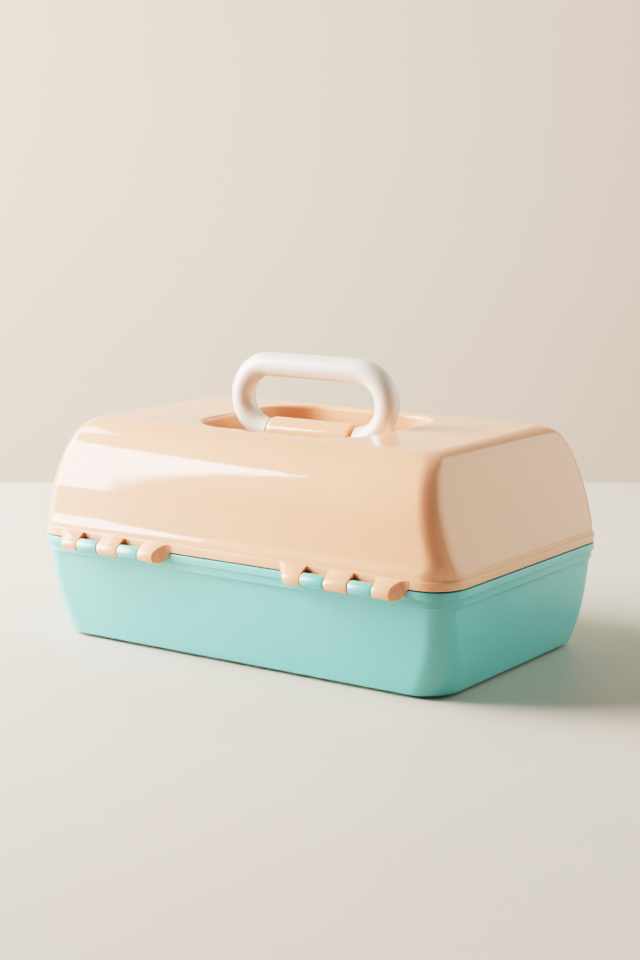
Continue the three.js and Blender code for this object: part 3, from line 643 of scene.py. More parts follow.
def knuckles(owner, outline):
    """The knuckles that a body owns, with softened ends and the pin's bore."""
    out = []
    for side in (-1, 1):
        spans = knuckle_spans(side * HINGE_CENTRE_X)
        bore_from = spans[0][0] + HINGE_BLIND_END
        for place, (from_x, to_x, holder) in enumerate(spans):
            if holder != owner:
                continue
            first, last = place == 0, place == len(spans) - 1
            reach = (from_x - HINGE_FLARE * first, to_x + HINGE_FLARE * last)
            piece = tool("knuckle", *prism_x(outline, *reach))
            if first or last:
                combine(piece, [flare_hollow(from_x, -1) if first else flare_hollow(to_x, 1)], "DIFFERENCE")
            bevel(piece, 0.4)
            near, far = max(bore_from, from_x - OVERRUN), to_x + (HINGE_FLARE if last else OVERRUN)
            combine(piece, [rod_x("bore", HINGE_BORE, near, far, HINGE_Y, HINGE_Z)], "DIFFERENCE")
            out.append(piece)
    return out


def flare_hollow(end_x, sign):
    """An upright hollow that sweeps a hinge's outer end from the barrel back to the lid's lip."""
    x = end_x + sign * (HINGE_FLARE_RADIUS - 0.3)
    y = HINGE_Y + HINGE_RADIUS
    low, high = (x, y, HINGE_Z - FLARE_BELOW), (x, y, HINGE_Z + FLARE_ABOVE)
    return tool("hollow", *rod(HINGE_FLARE_RADIUS, low, high, 96))


def latch_keeper():
    """The ledge on the base's wall that the latch's bead goes under."""
    nose = -HALF_WIDTH - KEEPER_REACH
    root = -HALF_WIDTH + KEEPER_ROOT
    outline = [
        (root, KEEPER_FOOT), (root, KEEPER_TOP), (-HALF_WIDTH, KEEPER_TOP), *((nose, z) for z in KEEPER_NOSE),
        (-HALF_WIDTH, KEEPER_UNDER), (-HALF_WIDTH + 0.4, KEEPER_FOOT),
    ]
    piece = tool("keeper", *prism_x(outline, -KEEPER_HALF, KEEPER_HALF))
    bevel(piece, 0.5, angle=25.0)
    return piece


def add_bosses(piece, points, radius, end):
    """Bosses on both end walls that hold screws, each with its screw's hole."""
    for sign in (-1, 1):
        for y, z in points:
            combine(piece, [rod_x("boss", radius, sign * BOSS_FACE, sign * end, y, z)], "UNION")
            hole = rod_x("hole", BOSS_HOLE, sign * ARM_OUT, sign * BOSS_HOLE_END, y, z)
            combine(piece, [hole], "DIFFERENCE")


base = make("base_body", *base_shell(), MINT)
combine(base, knuckles("base", base_knuckle_outline()) + [latch_keeper()], "UNION")
add_bosses(base, [LINK_BASE], ARM_BOSS, ARM_BOSS_END)
shade(base, SHELL_SMOOTH)
hand_over(base, "base", "base_shell")


# ---------------- lid

def lid_ring(z, extra=0.0, at=None):
    """The lid's outline as it is at height z, set in by an extra and placed at another height if asked."""
    slope = math.atan(LID_END_DRAFT)
    round_z = LID_TOP - LID_END_ROUND * (1 - math.sin(slope))
    inset_x = LID_WALL_INSET + LID_END_DRAFT * (min(z, round_z) - LID_WALL_Z)
    if z > round_z:
        rise = min((z - LID_TOP + LID_END_ROUND) / LID_END_ROUND, 1.0)
        inset_x += LID_END_ROUND * (math.cos(slope) - math.sqrt(max(0.0, 1 - rise * rise)))
    turn = turn_in(min(max((z - LID_SHOULDER_Z) / (LID_TOP - LID_SHOULDER_Z), 0.0), 1.0))
    inset_y = LID_WALL_INSET + LID_SHOULDER_INSET * turn
    share = (z - LID_WALL_Z) / (LID_TOP - LID_WALL_Z)
    corner = LID_CORNER_LOW + (LID_CORNER_HIGH - LID_CORNER_LOW) * share
    half_x, half_y = HALF_LENGTH - inset_x - extra, HALF_WIDTH - inset_y - extra
    return ring(z if at is None else at, half_x, half_y, corner - extra)


def recess_ring(z, grow):
    """The handle's recess at a height, larger or smaller than at its lip."""
    return ring(z, RECESS_X + grow, RECESS_Y + grow, RECESS_CORNER + grow)


def lid_shell():
    """The lid from under the recess, down the inside, round the rim, up the outside and into the recess."""
    bottom = PARTING_Z + PARTING_GAP
    lip_top = PARTING_Z + LID_LIP_HEIGHT
    band_top = PARTING_Z + LID_BAND_HEIGHT
    rows = [
        (recess_ring(RECESS_FLOOR - WALL, -RECESS_DRAFT - UNDER_CAP), 0),
        (recess_ring(RECESS_FLOOR - WALL, WALL - RECESS_DRAFT), 3.0),
        (recess_ring(LID_TOP - WALL, WALL), 1.0),
        (lid_ring(LID_INNER_TOP + LID_INNER_LEAD, WALL, LID_TOP - WALL), 0),
    ]
    rows += [(lid_ring(z + LID_INNER_LEAD, WALL, z), 0) for z in LID_INNER_HEIGHTS]
    rows += [
        (rim_ring(band_top, LID_BAND_WALL + LID_BAND_INSET), 0.8),
        (rim_ring(lip_top - 1, LID_RIM_WALL), 0.6),
        (rim_ring(bottom, LID_RIM_WALL), 0.3),
        (rim_ring(bottom, 0.0), 0.5),
        (rim_ring(lip_top, 0.0), 0.6),
        (rim_ring(lip_top, LID_BAND_INSET), 0.5),
        (rim_ring(band_top, LID_BAND_INSET + 0.1), 1.0),
        (lid_ring(LID_WALL_Z + 0.5), 3.0),
        (lid_ring(LID_WALL_Z + 6), 0),
    ]
    for angle in quarter_angles(40):
        rows.append((lid_ring(LID_SHOULDER_Z + (LID_TOP - LID_SHOULDER_Z) * math.sin(angle)), 0))
    for angle in quarter_angles(10):
        z = LID_TOP - RECESS_LIP * (1 - math.cos(angle))
        rows.append((recess_ring(z, RECESS_LIP * (1 - math.sin(angle))), 0))
    rows += [
        (recess_ring(RECESS_FLOOR + 8, -RECESS_DRAFT * 0.6), 0),
        (recess_ring(RECESS_FLOOR, -RECESS_DRAFT), RECESS_FLOOR_ROUND),
        (recess_ring(RECESS_FLOOR, -RECESS_DRAFT - FLOOR_CAP), 0),
    ]
    return loft(soften(rows, 6))


def lid_lugs():
    """The two ears that carry the latch's pin."""
    out = []
    for sign in (-1, 1):
        near = LATCH_HALF + LATCH_GAP
        span = sorted((sign * near, sign * (near + LATCH_LUG)))
        outline = arc(LATCH_Y, LATCH_Z, LATCH_RADIUS - 0.4, math.pi / 2, 1.5 * math.pi, 24)
        root = -HALF_WIDTH + LUG_ROOT
        outline += [(root, LATCH_Z - LATCH_RADIUS + 0.6), (root, LATCH_Z + LATCH_RADIUS - 0.6)]
        piece = tool("lug", *prism_x(outline, *span))
        bevel(piece, 0.6)
        bore_span = sorted((sign * (near - OVERRUN), sign * (near + LATCH_LUG - LUG_BLIND_END)))
        combine(piece, [rod_x("bore", LATCH_BORE, *bore_span, LATCH_Y, LATCH_Z)], "DIFFERENCE")
        out.append(piece)
    return out


def hinge_notches():
    """Cutters for the small round notches in the lid's lip, at the +X end of each of the base's knuckles."""
    out = []
    for side in (-1, 1):
        for from_x, to_x, holder in knuckle_spans(side * HINGE_CENTRE_X):
            if holder == "base":
                inner, outer = HALF_WIDTH - HINGE_NOTCH_DEPTH, HALF_WIDTH + HINGE_NOTCH_REACH
                ends = [(to_x, y, PARTING_Z + HINGE_NOTCH_RISE) for y in (inner, outer)]
                out.append(tool("notch", *rod(HINGE_NOTCH, *ends)))
    return out


lid = make("lid_body", *lid_shell(), PEACH)
combine(lid, knuckles("lid", lid_knuckle_outline()) + lid_lugs(), "UNION")
combine(lid, hinge_notches(), "DIFFERENCE")
add_bosses(lid, BRACKET_SCREWS, BRACKET_BOSS, BRACKET_BOSS_END)
shade(lid, SHELL_SMOOTH)
hand_over(lid, "lid", "lid_shell")


# ---------------- handle and clamp

def swept(points, section_radius, segments=40):
    """Rings of a round tube along (x, z) points that lie in the plane y = HANDLE_Y."""
    rings = []
    count = len(points)
    across = Vector((0, 1, 0))
    turns = [2 * math.pi * k / segments for k in range(segments)]
    for place, (x, z) in enumerate(points):
        ahead = points[min(place + 1, count - 1)]
        behind = points[max(place - 1, 0)]
        heading = Vector((ahead[0] - behind[0], 0, ahead[1] - behind[1])).normalized()
        outward = heading.cross(across)
        rings.append([
            tuple(Vector((x, HANDLE_Y, z)) + across * section_radius * math.cos(turn)
                  + outward * section_radius * math.sin(turn))
            for turn in turns
        ])
    return rings


def handle_points():
    """The ring's middle line as (x, z) points, from one end of the clamp over the top to the other."""
    end_x = CLAMP_HALF + HANDLE_END_GAP
    radius = HANDLE_RISE / 2
    turns = [math.pi * step / HANDLE_BEND_STEPS for step in range(HANDLE_BEND_STEPS + 1)]
    top = [
        (HANDLE_STRAIGHT - 2 * HANDLE_STRAIGHT * step / HANDLE_TOP_STEPS, HANDLE_Z + HANDLE_RISE)
        for step in range(1, HANDLE_TOP_STEPS)
    ]
    return [
        (end_x, HANDLE_Z),
        *((HANDLE_STRAIGHT + radius * math.sin(t), HANDLE_Z + radius * (1 - math.cos(t))) for t in turns),
        *top,
        *((-HANDLE_STRAIGHT - radius * math.sin(t), HANDLE_Z + radius * (1 + math.cos(t))) for t in turns),
        (-end_x, HANDLE_Z),
    ]


handle = make("ring_handle", *loft(swept(handle_points(), HANDLE_TUBE)), WHITE, HANDLE_SMOOTH)
bevel(handle, 0.9, 4)
spindle_half = CLAMP_HALF + HANDLE_SPINDLE_REACH
spindle = rod_x("spindle", HANDLE_SPINDLE, -spindle_half, spindle_half, HANDLE_Y, HANDLE_Z, 48)
combine(handle, [spindle], "UNION")
shade(handle, HANDLE_SMOOTH)
hand_over(handle, "handle", "handle")


def clamp_profile():
    """The clamp's barrel with its rounded ends, as (x, radius) pairs."""
    half = [
        (CLAMP_FLAT + CLAMP_END_ROUND * math.sin(angle),
         CLAMP_END_RADIUS + (CLAMP_RADIUS - CLAMP_END_RADIUS) * math.cos(angle))
        for angle in quarter_angles(CLAMP_END_STEPS)
    ]
    return [(-x, r) for x, r in reversed(half)] + half


def clamp_foot():
    """The block under the barrel that stands on the recess's floor, as (y, z) points."""
    front, back = HANDLE_Y - CLAMP_FOOT_HALF, HANDLE_Y + CLAMP_FOOT_HALF
    neck_front, neck_back = HANDLE_Y - CLAMP_RADIUS + 0.1, HANDLE_Y + CLAMP_RADIUS - 0.1
    return [
        (front, CLAMP_FOOT_Z), (back, CLAMP_FOOT_Z), (back, CLAMP_FOOT_TOP), (neck_back, CLAMP_FOOT_TOP),
        (neck_back, HANDLE_Z), (neck_front, HANDLE_Z), (neck_front, CLAMP_FOOT_TOP), (front, CLAMP_FOOT_TOP),
    ]


def clamp_trim():
    """What the barrel loses below the foot's underside."""
    reach = CLAMP_FOOT_HALF + 2
    return rectangle(HANDLE_Y - reach, HANDLE_Y + reach, CLAMP_FOOT_Z - 9, CLAMP_FOOT_Z)


clamp = make("clamp_barrel", *turned_x(clamp_profile(), HANDLE_Y, HANDLE_Z), PEACH)
foot = tool("foot", *prism_x(clamp_foot(), -CLAMP_FLAT, CLAMP_FLAT))
bevel(foot, 1.2, 4)
combine(clamp, [foot], "UNION")
bore_half = CLAMP_HALF + 2
bore = rod_x("bore", CLAMP_BORE, -bore_half, bore_half, HANDLE_Y, HANDLE_Z, 64)
combine(clamp, [tool("trim", *prism_x(clamp_trim(), -40, 40)), bore], "DIFFERENCE")
shade(clamp, FITTING_SMOOTH)
hand_over(clamp, "lid", "handle_clamp")


# ---------------- latch

def latch_outline():
    """The latch from the side: a barrel, a plate that hangs from it and a bead that goes under the keeper."""
    outer = LATCH_Y - LATCH_RADIUS
    inner = outer + LATCH_PLATE
    outline = arc(LATCH_Y, LATCH_Z, LATCH_RADIUS, -math.pi / 2, math.pi, 44)
    outline += [
        (outer, LATCH_BOTTOM + 1.2), (outer + 1.2, LATCH_BOTTOM), (inner + 0.4, LATCH_BOTTOM),
        (inner + 2.4, LATCH_BOTTOM + 3), (inner + 2.4, LATCH_BOTTOM + 4.4), (inner, LATCH_BOTTOM + 6.4),
        (inner, LATCH_Z - LATCH_RADIUS - 1),
    ]
    return outline


latch = make("latch_plate", *prism_x(latch_outline(), -LATCH_HALF, LATCH_HALF), WHITE)
bevel(latch, 0.6, 4, 20.0)
bore_half = LATCH_HALF + OVERRUN
combine(latch, [rod_x("bore", LATCH_BORE, -bore_half, bore_half, LATCH_Y, LATCH_Z)], "DIFFERENCE")
shade(latch, FITTING_SMOOTH)
hand_over(latch, "latch", "latch")


# ---------------- trays

def tray_shell(size):
    """An open tray with drafted walls, a rounded floor and a rolled lip."""
    middle = (size["back"] + size["front"]) / 2
    half_y = (size["back"] - size["front"]) / 2
    bottom, top = size["bottom"], size["top"]
    floor = bottom + TRAY_WALL

    def at(z, inset):
        return ring(z, TRAY_HALF - inset, half_y - inset, TRAY_CORNER - inset, middle, 12)

    rows = [
        (at(bottom, TRAY_DRAFT + FLOOR_CAP), 0),
        (at(bottom, TRAY_DRAFT), 3.2),
        (at(top - TRAY_LIP, 1.0), 0.4),
        (at(top - TRAY_LIP, 0.0), 0.5),
        (at(top, 0.0), 0.9),
        (at(top, TRAY_WALL + 0.6), 0.9),
        (at(floor, TRAY_DRAFT + TRAY_WALL), 2.6),
        (at(floor, TRAY_DRAFT + TRAY_WALL + FLOOR_CAP), 0),
    ]
    return loft(soften(rows, 5))


def taut_outline(circles, steps=64):
    """The outline that a taut band takes around circles given as (y, z, radius)."""
    cloud = sorted({
        (round(y + a, 6), round(z + b, 6)) for y, z, radius in circles for a, b in circle(radius, steps)
    })

    def chain(points):
        out = []
        for q in points:
            while len(out) > 1:
                (ay, az), (by, bz) = out[-2], out[-1]
                if (by - ay) * (q[1] - az) - (bz - az) * (q[0] - ay) > 1e-7:
                    break
                out.pop()
            out.append(q)
        return out[:-1]

    return chain(cloud) + chain(cloud[::-1])


def side_span(sign, near, far):
    """The stretch of X between two distances from the middle, on either side."""
    return (near, far) if sign > 0 else (-far, -near)


def side_plate(circles, sign, near, far, edge):
    """A flat plate with rounded edges, in the shape of a taut band around circles."""
    piece = tool("plate", *prism_x(taut_outline(circles), *side_span(sign, near, far)))
    bevel(piece, edge)
    return piece


def side_bore(radius, sign, near, far, y, z):
    """A cutter for a hole through a plate."""
    return rod_x("bore", radius, *side_span(sign, near, far), y, z, 40)


def along(point, share):
    """A pivot that far along the crank that starts at a point."""
    y, z = point
    reach = share * LINK_LENGTH
    return (y - reach * math.cos(LINK_DIP), z - reach * math.sin(LINK_DIP))


UPPER_FRONT = along(LINK_BASE, 1.0)
UPPER_REAR = along((HINGE_Y, HINGE_Z), 1.0)
LOWER_FRONT = along(LINK_BASE, 0.5)
LOWER_REAR = along((HINGE_Y, HINGE_Z), 0.5)


def ears(pivot, pads):
    """A tray's ear on each end: a plate around the pivot and a pad that ties it to the end wall."""
    out = []
    for sign in (-1, 1):
        out.append(side_plate([(*pivot, LINK_MARGIN), *pads], sign, EAR_IN, EAR_OUT, 0.4))
        out.append(side_plate(pads, sign, TRAY_HALF - 2.4, EAR_IN + 0.5, 0.2))
    return out


def divider(size, x_span, y_span):
    """A thin wall with a rounded top edge, standing on the tray's floor."""
    outline = rectangle(*y_span, size["bottom"] + 1, size["top"] - TRAY_LIP)
    piece = tool("divider", *prism_x(outline, *x_span))
    bevel(piece, 0.75, 4)
    return piece


def cross_dividers(size, places, from_y, to_y):
    """Dividers from front to back at places along X, whose ends are buried in what they meet."""
    half = DIVIDER / 2
    span = (from_y + DIVIDER_END_INSET, to_y - DIVIDER_END_INSET)
    return [divider(size, (x - half, x + half), span) for x in places]


def finished_tray(name, size, dividers, hangers, pivots, body):
    """A tray with its dividers and ears joined on, and holes for the rivets."""
    piece = make(name, *tray_shell(size), TRAY)
    combine(piece, dividers + hangers, "UNION")
    holes = []
    for y, z in pivots:
        for sign in (-1, 1):
            holes.append(side_bore(EAR_HOLE, sign, EAR_IN - OVERRUN, EAR_OUT + OVERRUN, y, z))
    combine(piece, holes, "DIFFERENCE")
    shade(piece, LINK_SMOOTH)
    hand_over(piece, body, body)


def pads_at(y, z):
    """Two pad circles on either side of a place."""
    return [(y - PAD_RADIUS, z, PAD_RADIUS), (y + PAD_RADIUS, z, PAD_RADIUS)]


wall_x = TRAY_HALF - TRAY_WALL
thirds = (-wall_x / 3, wall_x / 3)
row_far = DIVIDER_ROW_Y + DIVIDER
upper_front, upper_back = UPPER_TRAY["front"] + TRAY_WALL, UPPER_TRAY["back"] - TRAY_WALL
row_x = (-wall_x + DIVIDER_END_INSET, wall_x - DIVIDER_END_INSET)
upper_dividers = [divider(UPPER_TRAY, row_x, (DIVIDER_ROW_Y, row_far))]
upper_dividers += cross_dividers(UPPER_TRAY, thirds, DIVIDER_ROW_Y, upper_back)
upper_dividers += cross_dividers(UPPER_TRAY, (0.0,), upper_front, row_far)
upper_pad_z = UPPER_TRAY["bottom"] + 13
upper_ears = []
for pivot in (UPPER_FRONT, UPPER_REAR):
    upper_ears += ears(pivot, pads_at(pivot[0], upper_pad_z))
finished_tray(
    "upper_tray_body", UPPER_TRAY, upper_dividers, upper_ears, [UPPER_FRONT, UPPER_REAR], "upper_tray"
)

lower_front, lower_back = LOWER_TRAY["front"] + TRAY_WALL, LOWER_TRAY["back"] - TRAY_WALL
lower_dividers = cross_dividers(LOWER_TRAY, thirds, lower_front, lower_back)
lower_pad_z = LOWER_TRAY["bottom"] + 10
rear_pad_y = LOWER_TRAY["back"] - 22
rear_pads = [(rear_pad_y, lower_pad_z, PAD_RADIUS), (rear_pad_y + 10, lower_pad_z + 3, PAD_RADIUS)]
lower_ears = ears(LOWER_FRONT, pads_at(LOWER_FRONT[0], lower_pad_z)) + ears(LOWER_REAR, rear_pads)
finished_tray(
    "lower_tray_body", LOWER_TRAY, lower_dividers, lower_ears, [LOWER_FRONT, LOWER_REAR], "lower_tray"
)


# ---------------- arms, brackets, rivets and screws

def strap(name, circles, holes, sign, body, node):
    """A flat moulded link with rounded edges and its pivot holes."""
    piece = side_plate(circles, sign, ARM_IN, ARM_OUT, 0.45)
    piece.name = name
    piece.data.materials.clear()
    piece.data.materials.append(TRAY)
    span = (ARM_IN - OVERRUN, ARM_OUT + OVERRUN)
    combine(piece, [side_bore(radius, sign, *span, y, z) for y, z, radius in holes], "DIFFERENCE")
    shade(piece, LINK_SMOOTH)
    hand_over(piece, body, node)


def cut_cross(piece, face_x, y, z, sign):
    """Two crossed slots sunk into a screw's head."""
    span = sorted((face_x - sign * OVERRUN, face_x + sign * CROSS_DEPTH))
    slots = []
    for half_y, half_z in ((CROSS_HALF, CROSS_SLOT), (CROSS_SLOT, CROSS_HALF)):
        outline = rectangle(y - half_y, y + half_y, z - half_z, z + half_z)
        slots.append(tool("slot", *prism_x(outline, *span)))
    combine(piece, slots, "DIFFERENCE")


def turned_side(name, profile, sign, centre, body, node, cross=None):
    """A turned steel piece on either end of the box, with a cross recess when a face is given."""
    vertices, faces = turned_x(profile, *centre, 40)
    piece = make(name, [(sign * x, y, z) for x, y, z in vertices], faces, STEEL, STEEL_SMOOTH)
    if cross is not None:
        cut_cross(piece, sign * cross, *centre, sign)
    shade(piece, STEEL_SMOOTH)
    hand_over(piece, body, node)


def dome(seat, radius, height, outward):
    """(x, radius) pairs over a domed head, from its crown at seat - height to its rim at seat."""
    return [
        (seat - outward * height * math.cos(angle), radius * math.sin(angle)) for angle in quarter_angles(10)
    ]


def rivet_profile():
    """A rivet with a domed head on both ends."""
    inner, outer = EAR_IN - RIVET_END_GAP, ARM_OUT + RIVET_END_GAP
    profile = dome(inner, RIVET_HEAD, RIVET_HEAD_THICK, 1)
    profile += [(inner, RIVET_RADIUS), (outer, RIVET_RADIUS)]
    profile += dome(outer, RIVET_HEAD, RIVET_HEAD_THICK, -1)[::-1]
    return profile


def screw_profile(seat, shoulder, shoulder_end, tip, head=RIVET_HEAD, thick=SCREW_HEAD_THICK):
    """A pan-headed screw whose head sits inside the seat, with a thread's crests along its shank."""
    under_head = seat - SCREW_HEAD_SINK
    profile = dome(under_head, head, thick, 1)
    profile += [(under_head, shoulder), (shoulder_end, shoulder)]
    x = shoulder_end + 0.2
    while x < tip - SCREW_POINT - 0.6:
        profile += [(x, SCREW_ROOT), (x + 0.3, SCREW), (x + 0.6, SCREW_ROOT)]
        x += SCREW_PITCH
    profile += [(tip - SCREW_POINT, SCREW_ROOT), (tip, 0.0)]
    return profile


def pin_profile(from_x, to_x, radius, edge=0.35):
    """A plain pin with broken edges."""
    return [(from_x, 0.0), (from_x, radius - edge), (from_x + edge, radius),
            (to_x - edge, radius), (to_x, radius - edge), (to_x, 0.0)]


def stand_up(piece, x, y):
    """Turns a piece that was made along X so that it stands along Z over a point."""
    for vertex in piece.data.vertices:
        height, off_x, off_y = vertex.co
        vertex.co = (x * MM + off_x, y * MM + off_y, height)


SIDES = (("left", -1), ("right", 1))
CROSS_FACE = ARM_IN - SCREW_HEAD_SINK - SCREW_HEAD_THICK

arm_circles = [(*LINK_BASE, LINK_MARGIN), (*UPPER_FRONT, LINK_MARGIN)]
arm_holes = [(*pivot, LINK_HOLE) for pivot in (LINK_BASE, LOWER_FRONT, UPPER_FRONT)]
bracket_circles = [(*point, LINK_MARGIN) for point in (UPPER_REAR, LOWER_REAR, *BRACKET_SCREWS)]
bracket_holes = [(*pivot, LINK_HOLE) for pivot in (UPPER_REAR, LOWER_REAR)]
bracket_holes += [(*point, BRACKET_SCREW_HOLE) for point in BRACKET_SCREWS]
pivot_screw = screw_profile(ARM_IN, RIVET_RADIUS, ARM_OUT + 0.1, BOSS_SCREW_TIP)
bracket_screw = screw_profile(ARM_IN, SCREW, ARM_OUT, BOSS_SCREW_TIP)
rivets = {
    ("upper", "front"): UPPER_FRONT, ("upper", "rear"): UPPER_REAR,
    ("lower", "front"): LOWER_FRONT, ("lower", "rear"): LOWER_REAR,
}
for side, sign in SIDES:
    strap(f"arm_{side}", arm_circles, arm_holes, sign, "tray_arms", f"tray_arm_{side}")
    strap(f"bracket_{side}", bracket_circles, bracket_holes, sign, "lid", f"lid_bracket_{side}")
    turned_side(f"pivot_{side}", pivot_screw, sign, LINK_BASE, "base", f"arm_pivot_{side}", CROSS_FACE)
    for number, point in enumerate(BRACKET_SCREWS, 1):
        name = f"screw_{side}_{number}"
        turned_side(name, bracket_screw, sign, point, "lid", f"bracket_{name}", CROSS_FACE)
    for (tray, end), pivot in rivets.items():
        name, node = f"rivet_{tray}_{end}_{side}", f"{tray}_rivet_{end}_{side}"
        turned_side(name, rivet_profile(), sign, pivot, f"{tray}_tray", node)

hinge_axis = (HINGE_Y, HINGE_Z)
for side, sign in SIDES:
    spans = knuckle_spans(sign * HINGE_CENTRE_X)
    from_x, to_x = spans[0][0] + HINGE_BLIND_END + PIN_END_GAP, spans[-1][1] - PIN_END_GAP
    hinge_pin = pin_profile(from_x, to_x, HINGE_PIN)
    turned_side(f"pin_{side}", hinge_pin, 1, hinge_axis, "base", f"hinge_pin_{side}")
pin_half = LATCH_HALF + LATCH_GAP + LATCH_LUG - LUG_BLIND_END - PIN_END_GAP
latch_pin = pin_profile(-pin_half, pin_half, LATCH_PIN)
turned_side("pin_latch", latch_pin, 1, (LATCH_Y, LATCH_Z), "lid", "latch_pin")

clamp_seat = RECESS_FLOOR - WALL
clamp_head = clamp_seat - SCREW_HEAD_SINK - CLAMP_SCREW_HEAD_THICK
clamp_screw = screw_profile(
    clamp_seat, SCREW, clamp_seat + CLAMP_SCREW_SHOULDER, clamp_head + CLAMP_SCREW_LENGTH, CLAMP_SCREW_HEAD,
    CLAMP_SCREW_HEAD_THICK,
)
clamp_corners = [(sign_x, sign_y) for sign_x in (-1, 1) for sign_y in (-1, 1)]
for number, (sign_x, sign_y) in enumerate(clamp_corners, 1):
    screw = make(f"screw_clamp_{number}", *turned_x(clamp_screw, 0.0, 0.0, 40), STEEL, STEEL_SMOOTH)
    cut_cross(screw, clamp_head, 0.0, 0.0, 1)
    stand_up(screw, sign_x * CLAMP_SCREW_X, HANDLE_Y + sign_y * CLAMP_SCREW_Y)
    shade(screw, STEEL_SMOOTH)
    hand_over(screw, "lid", f"clamp_screw_{number}")


# ---------------- camera, floor, backdrop and light

SENSOR = 36.0
FOCAL_PIXELS, FRAME_PIXELS = 1912.79, 960
EYE = Vector((-0.7262, 1.0406, 0.3313))
LOOK = Vector((0.5625, -0.8085, -0.1731)).normalized()
LEVEL = Vector((LOOK.x, LOOK.y, 0)).normalized()
RIGHTWARD = Vector((LEVEL.y, -LEVEL.x, 0))
CENTRE = Vector((0, 0, 0.08))

# the stage's edges in metres: how far ahead of the camera, and how far below or above the floor
FLOOR_NEAR = -4.13
CREST_AWAY = 1.87
WALL_AWAY = 3.3
RAMP_DROP = 0.36
WALL_TOP = 4.0
STAGE_HALF = 5


def place_camera():
    """The camera that was fitted to the photo."""
    data = bpy.data.cameras.new("camera")
    data.sensor_width = SENSOR
    data.lens = FOCAL_PIXELS / FRAME_PIXELS * SENSOR
    data.clip_start = 0.05
    data.clip_end = 30.0
    camera = bpy.data.objects.new("camera", data)
    camera.location = EYE
    camera.rotation_mode = "QUATERNION"
    camera.rotation_quaternion = LOOK.to_track_quat("-Z", "Y")
    scene.collection.objects.link(camera)
    scene.camera = camera


def sheet(name, near, far, material):
    """A flat sheet of the stage between two edges across the view."""
    mesh = bpy.data.meshes.new(name)
    mesh.from_pydata([tuple(c) for c in far + near[::-1]], [], [(0, 1, 2, 3)])
    mesh.materials.append(material)
    piece = bpy.data.objects.new(name, mesh)
    scene.collection.objects.link(piece)


def stage_edge(away, height):
    """The two ends of a line across the view, that far ahead of the camera."""
    middle = Vector((EYE.x, EYE.y, height)) + LEVEL * away
    return [middle - RIGHTWARD * STAGE_HALF, middle + RIGHTWARD * STAGE_HALF]


def around(left, near, up):
    """A point seen from the box: metres to the photo's left, towards the camera, and up."""
    return CENTRE - RIGHTWARD * left - LEVEL * near + Vector((0, 0, up))


def area_light(name, place, target, size, radiance, colour, glossy=True, diffuse=True):
    """A soft box whose face shines with a given radiance. It can be left out of mirror images or of the
    light that falls on things, and the camera never sees it."""
    data = bpy.data.lights.new(name, "AREA")
    data.shape = "RECTANGLE"
    data.size, data.size_y = size
    data.energy = radiance * math.pi * size[0] * size[1]
    data.color = colour
    lamp = bpy.data.objects.new(name, data)
    lamp.location = place
    lamp.rotation_mode = "QUATERNION"
    lamp.rotation_quaternion = (Vector(target) - Vector(place)).to_track_quat("-Z", "Y")
    lamp.visible_camera = False
    lamp.visible_glossy = glossy
    lamp.visible_diffuse = diffuse
    scene.collection.objects.link(lamp)


PANEL_LEFT = 1.5
PANEL_MIDDLE = 0.85
PANEL_HEIGHT = 1.8
PANEL_LEAN = 0.2
SHINE_TOP = 1.1


def panel(name, near, width, low, high, radiance, colour, **seen):
    """A strip of the tall soft box on the left, from low to high along its face, which leans in."""
    offset = (low + high - PANEL_HEIGHT) / 2
    run = math.hypot(1.0, PANEL_LEAN)
    left = PANEL_LEFT - offset * PANEL_LEAN / run
    up = PANEL_MIDDLE + offset / run
    target = around(left - PANEL_LEFT, near, up - PANEL_LEAN * PANEL_LEFT)
    area_light(name, around(left, near, up), target, (width, high - low), radiance, colour, **seen)


place_camera()

# The floor runs level to a crest behind the box and then falls gently away to a wall further back, so
# that a camera can go right round the box without meeting the wall.
floor_paint = painted("floor_paint", (198, 194, 183), (195, 191, 179), 0.5)
wall_paint = painted("wall_paint", (203, 190, 174), (199, 186, 169), 0.8)
crest = stage_edge(CREST_AWAY, 0.0)
ramp_foot = stage_edge(WALL_AWAY, -RAMP_DROP)
sheet("floor", stage_edge(FLOOR_NEAR, 0.0), crest, floor_paint)
sheet("ramp", crest, ramp_foot, floor_paint)
sheet("backdrop", stage_edge(WALL_AWAY, WALL_TOP), ramp_foot, wall_paint)

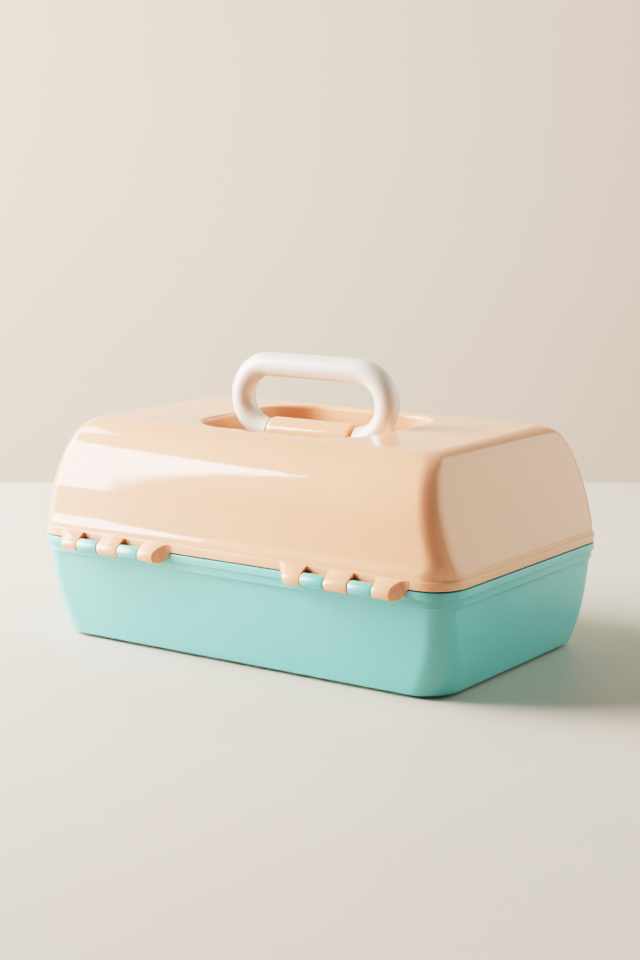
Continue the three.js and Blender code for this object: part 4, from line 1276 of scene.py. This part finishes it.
# The tall panel lights the hinge side. Only its lower part is mirrored in the lid, where its upper edge
# ends the long shine, and the sheen beside it is seen in mirror images alone.
WARM = (1.0, 0.865, 0.835)
panel("panel", -0.19, 0.82, 0.0, SHINE_TOP, 27.0, WARM)
panel("panel_high", -0.19, 0.82, SHINE_TOP, PANEL_HEIGHT, 27.0, WARM, glossy=False)
panel("sheen", 0.32, 0.2, 0.0, SHINE_TOP, 30.0, (1.0, 0.93, 0.88), diffuse=False)

# The key comes from behind on the left and throws the short shadow. The fills stand on the right.
COOL = (0.905, 1.0, 0.93)
fill_place = around(-1.4, -0.2, 0.6)
area_light("key", around(0.95, -0.5, 0.62), CENTRE, (0.3, 0.7), 15.9, (0.963, 1.0, 0.932))
area_light("fill", fill_place, CENTRE, (1.7, 1.4), 1.5, COOL)
area_light("fill_soft", fill_place, CENTRE, (1.7, 1.4), 1.15, COOL, glossy=False)

# The wash lights the wall. The far lamp lights the floor beyond the camera, for the views from the other
# sides, and faces away from the box.
SOFT_WHITE = (1.0, 0.95, 0.9)
wash_target, far_target = around(1.0, -2.0, 0.4), around(-1.7, 3.9, 0.0)
area_light("wash", around(2.1, -0.9, 0.5), wash_target, (1.2, 1.2), 13.0, SOFT_WHITE, glossy=False)
area_light("far_floor", around(-0.9, 2.3, 1.9), far_target, (3.0, 3.0), 5.0, SOFT_WHITE, glossy=False)

# The world lights the box faintly, and shows itself to the camera as a pale backdrop.
world = bpy.data.worlds.new("studio")
world.use_nodes = True
sky = world.node_tree
faint = sky.nodes["Background"]
pale = sky.nodes.new("ShaderNodeBackground")
set_inputs(faint, Color=(1.0, 0.945, 0.873, 1.0), Strength=0.045)
set_inputs(pale, Color=(1.0, 0.93, 0.84, 1.0), Strength=0.85)
ray = sky.nodes.new("ShaderNodeLightPath")
choose = sky.nodes.new("ShaderNodeMixShader")
sky.links.new(ray.outputs["Is Camera Ray"], choose.inputs["Fac"])
sky.links.new(faint.outputs["Background"], choose.inputs[1])
sky.links.new(pale.outputs["Background"], choose.inputs[2])
sky.links.new(choose.outputs["Shader"], sky.nodes["World Output"].inputs["Surface"])
scene.world = world
scene.view_settings.view_transform = "Filmic"
scene.view_settings.look = "High Contrast"
